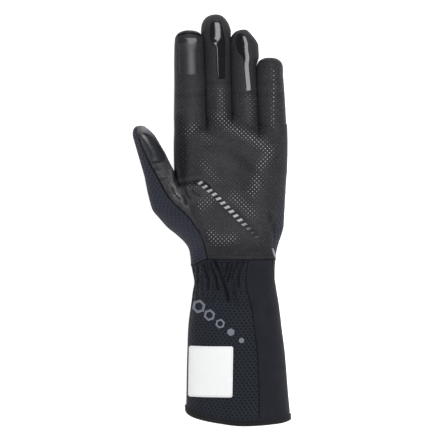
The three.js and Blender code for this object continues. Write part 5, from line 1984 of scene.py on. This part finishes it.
@dataclass
class PalmDetails:
    """Grip dots, the row of plain grip bars, seam stitches and the side trim on the palm."""

    bench: Workbench
    form: HandForm
    pitch: float = 3.3
    radius: float = 0.46
    tall: float = 0.34

    def skin(self, x: Array, y: Array) -> Array:
        """Height of the palm over plan points, or of the thumb's leather where one lies off the palm."""
        palm = self.form.palm_height(x, y)
        return np.where(np.isfinite(palm), palm, self.form.thumb_height(x, y))

    def normal(self, x: Array, y: Array) -> Array:
        """Outward directions of the skin from height differences a small step apart."""
        step = 0.35
        slope_x = (self.skin(x + step, y) - self.skin(x - step, y)) / (2 * step)
        slope_y = (self.skin(x, y + step) - self.skin(x, y - step)) / (2 * step)
        return np.stack([-slope_x, -slope_y, np.ones(x.shape)], -1)

    def near(self, x: Array, y: Array, line: Sequence[Spot]) -> Array:
        """Distance from each place to a line through measured places."""
        return distance_to([spot(*one) for one in line], x, y)

    def dots(self) -> None:
        """Dots on a staggered lattice where the leather is printed, larger along the glint bands and painted
        paler there as painted glints.
        """
        half = self.pitch / 2
        i, j = np.meshgrid(np.arange(-40, 40), np.arange(0, 190), indexing="ij")
        x = (i * self.pitch + np.where(j % 2 == 1, half, 0.0)).reshape(-1)
        y = (130.0 + j * half).reshape(-1)
        px, py = x / SHEET_STEP + SHEET_MIDDLE, SHEET_FOOT - y / SHEET_STEP
        top = DOT_TOPS[np.digitize(px, LANE_WALLS)]
        keep = (py > top) & (py < 246.5) & (px < 279 - 4 * smooth((py - 190) / 30))
        keep &= px > np.interp(py, *zip(*DOT_LEFT))
        root_left, root_right = self.form.thumb_span(y, np.array(1.0))
        root = (x - root_left) / (root_right - root_left)
        keep |= (py > 168) & (py < 203) & (root > 0.52) & (root < 0.95)
        keep &= self.near(x, y, BARE_LINE) > 2.4
        for wall in LANE_WALLS:
            keep &= ~((np.abs(px - wall) < 3.0) & (py < 120))
        height = self.skin(x, y)
        normal = self.normal(x, y)
        steep = normal / np.linalg.norm(normal, axis=-1, keepdims=True)
        keep &= np.isfinite(height) & np.isfinite(steep).all(-1) & (np.nan_to_num(steep[:, 2]) > 0.5)
        x, y, height, normal = x[keep], y[keep], height[keep], normal[keep]
        glint_band = np.zeros(x.shape)
        for line, wide, strength in DOT_GLINT_BANDS:
            glint_band = np.maximum(glint_band, strength * np.exp(-((self.near(x, y, line) / (wide * 0.9)) ** 2)))
        random = np.random.default_rng(7)
        # Painted glints: along the glint bands the dots are painted paler, with a small random spread of
        # tone.
        tone = np.clip(0.06 + 0.85 * glint_band + random.uniform(-0.1, 0.1, len(x)), 0, 1)
        shape, faces = dome_shape(self.radius, self.tall)
        along = np.array([[0.0, 1.0, 0.0]]) + np.zeros((len(x), 3))
        points, index = stamp(shape, faces, np.stack([x, y, height], -1), along, normal)
        size = np.repeat(0.85 + 0.35 * glint_band, len(shape))[:, None]
        centre = np.repeat(np.stack([x, y, height], -1), len(shape), axis=0)
        points = centre + (points - centre) * size
        tone = np.repeat(tone, len(shape))
        self.bench.build("palm_grip_dots", points, index, DOTS, slot="grip_gloss", tone=tone, sharp=60)

    def bars(self) -> None:
        """A row of plain slanting grip bars along the life line, each a low rounded block on the skin."""
        line = np.array([spot(*one) for one in BAR_LINE])
        places = spaced(line, 4.6)
        run = np.gradient(places, axis=0)
        run = run / np.linalg.norm(run, axis=-1, keepdims=True)
        across = np.linspace(-1, 1, 13)[None, :]
        along = np.linspace(-1, 1, 7)[:, None]
        edge = np.minimum(1 - np.abs(across), (1 - np.abs(along)) * 0.5) * 7
        lift = 0.05 + 0.4 * np.clip(edge, 0, 1) ** 0.5
        shell = Shell()
        for k, (place, ahead) in enumerate(zip(places, run)):
            long = 2.1 - 0.5 * abs(k / (len(places) - 1) - 0.45)
            cross = np.array([-ahead[1], ahead[0]]) * 0.92 + ahead * 0.39
            x = place[0] + cross[0] * long * across + ahead[0] * 1.15 * along
            y = place[1] + cross[1] * long * across + ahead[1] * 1.15 * along
            z = self.form.palm_height(x, y)
            turned = np.cross([cross[0], cross[1], 0], [ahead[0], ahead[1], 0])[2] < 0
            order = slice(None, None, -1) if turned else slice(None)
            outer, inner = np.stack([x, y, z + lift], -1), np.stack([x, y, z - 0.3], -1)
            shell.grid(outer[:, order], inner[:, order])
        points, faces, cloth = shell.close()
        reach = np.linalg.norm(points[:, None, :2] - places[None], axis=-1).argmin(axis=1)
        tone = 0.85 - 0.85 * smooth((reach - 8.5) / 3.5)
        self.bench.build("palm_grip_bars", points, faces, DOTS, slot="grip_gloss", cloth=cloth, tone=tone)

    def stitching(self) -> None:
        """Two rows of stitches over the palm's hem, the thumb's seam cord and the seam at the index tip."""
        form = self.form
        parts = []
        for rise in (1.1, 2.9):
            x = np.linspace(float(form.border(np.array(form.cuff_length + rise), Side.PALM)) + 1.5, 31.5, 120)
            y = np.full(x.shape, form.cuff_length + rise)
            line = np.stack([x, y, form.palm_height(x, y)], -1)
            parts.append(stitches(line, self.normal(x, y), 1.9, 1.5, 0.16))
        self.bench.build("palm_hem_stitches", *joined(parts), DARK_THREAD, slot="palm_leather")
        y = np.linspace(form.cuff_length + 0.2, form.thumb_dome() - 0.5, 200)
        seam = form.thumb_seam(y)
        low = np.zeros(y.shape)
        skin, top, deep = (form.thumb(y, low, seam, Side.PALM, inset) for inset in (0.1, 0.0, 0.8))
        lower = y < form.cuff_length + 0.21 * form.palm_length
        edge = form.border(y, Side.PALM)
        skin[lower, 0] = edge[lower]
        self.bench.build("thumb_seam_cord", *tube(skin, top - deep, 0.75, 0.3), DARK_THREAD, slot="back_knit")
        around = np.linspace(0, 1, 60)
        phi, dome = math.pi * mix(0.2, 0.8, around), np.radians(22 + 19 * np.sin(math.pi * around) ** 0.7)
        high = np.full(60, form.dome_start(0))
        line = form.finger(0, high, dome, phi, Side.PALM, -0.05)
        out = line - form.finger(0, high, dome, phi, Side.PALM, 0.8)
        self.bench.build("index_tip_seam", *tube(line, out, 1.0, 0.35), DARK_THREAD, slot="palm_leather")

    def trim(self) -> None:
        """The short pale trim slanting over the right end of the palm's heel."""
        form, long, wide = self.form, 6.6, 1.7
        along, across = np.linspace(-0.5, 0.5, 25)[:, None], np.linspace(-0.5, 0.5, 9)[None, :]
        y = form.cuff_length + 0.045 * form.palm_length + long * along + 0 * across
        right = form.right(y)
        x = right - 0.025 * form.palm_width - 0.5 * long * along + wide * across
        edge = np.clip(np.minimum((0.5 - np.abs(along)) * 12, (0.5 - np.abs(across)) * 4), 0, 1) ** 0.5

        def at(over: Array | float) -> Array:
            """Points at a height over the heel."""
            z = form.section(x, y, form.left(y), right, np.array(1.0), 0.0) + over
            return np.stack([x, y, form.seam_height(y) + z], -1)

        points, faces, cloth = Shell().grid(at(0.3 + 0.7 * edge), at(0.1)).close()
        tone = np.full(len(points), 0.55)
        self.bench.build("heel_trim", points, faces, DOTS, "side_trim", "side_trim", cloth, tone=tone)

    def build(self) -> None:
        """Makes the palm's details in order."""
        self.dots()
        self.bars()
        self.stitching()
        self.trim()


@dataclass
class Studio:
    """Pale floor, soft lights and a camera straight over the glove."""

    distance: float = 1.7
    lens: float = 182.5
    aim: Spot = (0.0018, 0.0034)
    floor_reach: float = 3.0
    floor_height: float = -0.0004

    def light(self, name: str, size: Spot, power: float, place: Place, target: Place) -> None:
        """A soft rectangular light that looks at a place.

        Args:
            name: The light's name.
            size: Its width and height in metres.
            power: Its power in watts.
            place: Where it hangs.
            target: Where it looks.
        """
        data = bpy.data.lights.new(name, "AREA")
        data.shape, data.size, data.size_y, data.energy = "RECTANGLE", size[0], size[1], power
        lamp = bpy.data.objects.new(name, data)
        lamp.location = place
        away = (Vector(place) - Vector(target)).normalized()
        side = Vector((0.0, 1.0, 0.0)).cross(away).normalized()
        lamp.rotation_euler = Matrix((side, away.cross(side), away)).transposed().to_euler()
        bpy.context.scene.collection.objects.link(lamp)

    def build(self) -> None:
        """Sets floor, lights, surroundings and camera."""
        mesh = bpy.data.meshes.new("pale_floor")
        corners = ((-1, -1), (1, -1), (1, 1), (-1, 1))
        points = [(x * self.floor_reach, y * self.floor_reach, self.floor_height) for x, y in corners]
        mesh.from_pydata(points, [], [(0, 1, 2, 3)])
        grey = (0.93, 0.93, 0.93, 1.0)
        recipe = Recipe("pale_floor", Roughness=0.9, Specular_IOR_Level=0.1, Base_Color=grey)
        recipe.shader.inputs["Emission Color"].default_value = (1.0, 1.0, 1.0, 1.0)
        recipe.shader.inputs["Emission Strength"].default_value = 0.8
        mesh.materials.append(recipe.material)
        floor = bpy.data.objects.new("pale_floor", mesh)
        bpy.context.scene.collection.objects.link(floor)
        world = bpy.data.worlds.new("studio")
        world.use_nodes = True
        world.node_tree.nodes["Background"].inputs["Color"].default_value = (1.0, 1.0, 1.0, 1.0)
        world.node_tree.nodes["Background"].inputs["Strength"].default_value = 0.14
        bpy.context.scene.world = world
        self.light("key_softbox", (0.64, 1.2), 13.4, (0.29, 0.12, 1.15), (0.0, 0.02, 0.0))
        self.light("top_softbox", (0.9, 0.35), 2.4, (0.05, 1.25, 0.8), (0.0, 0.1, 0.0))
        self.light("left_softbox", (0.6, 0.7), 4.6, (-1.0, -1.15, 0.7), (0.0, 0.0, 0.0))
        camera_data = bpy.data.cameras.new("camera")
        camera_data.lens, camera_data.sensor_width = self.lens, 36.0
        camera_data.sensor_fit = "HORIZONTAL"
        camera = bpy.data.objects.new("camera", camera_data)
        camera.location = (self.aim[0], self.aim[1], self.distance)
        bpy.context.scene.collection.objects.link(camera)
        bpy.context.scene.camera = camera
        bpy.context.scene.view_settings.view_transform = "Standard"


def main() -> None:
    """Builds the glove's parts in order, then the studio."""
    logging.basicConfig(level=logging.INFO, format="%(message)s")
    hand = HandForm(slit=-0.9, creases=HAND_CREASES, mounds=HAND_MOUNDS, painted_spots=HAND_PAINTED_SPOTS)
    cuff = CuffForm(hand, creases=CUFF_CREASES, mounds=CUFF_MOUNDS)
    bench = Workbench(place_shift(cuff))
    LOG.info("shift %s", bench.shift)
    HandPanel(bench, hand, Side.PALM).build()
    HandPanel(bench, hand, Side.BACK).build()
    ThumbPanel(bench, hand, Side.PALM).build()
    ThumbPanel(bench, hand, Side.BACK, columns=48).build()
    Cuff(bench, cuff).build()
    GripPatches(bench, hand).build()
    PalmDetails(bench, hand).build()
    Studio().build()
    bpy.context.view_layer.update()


if __name__ == "__main__":
    main()
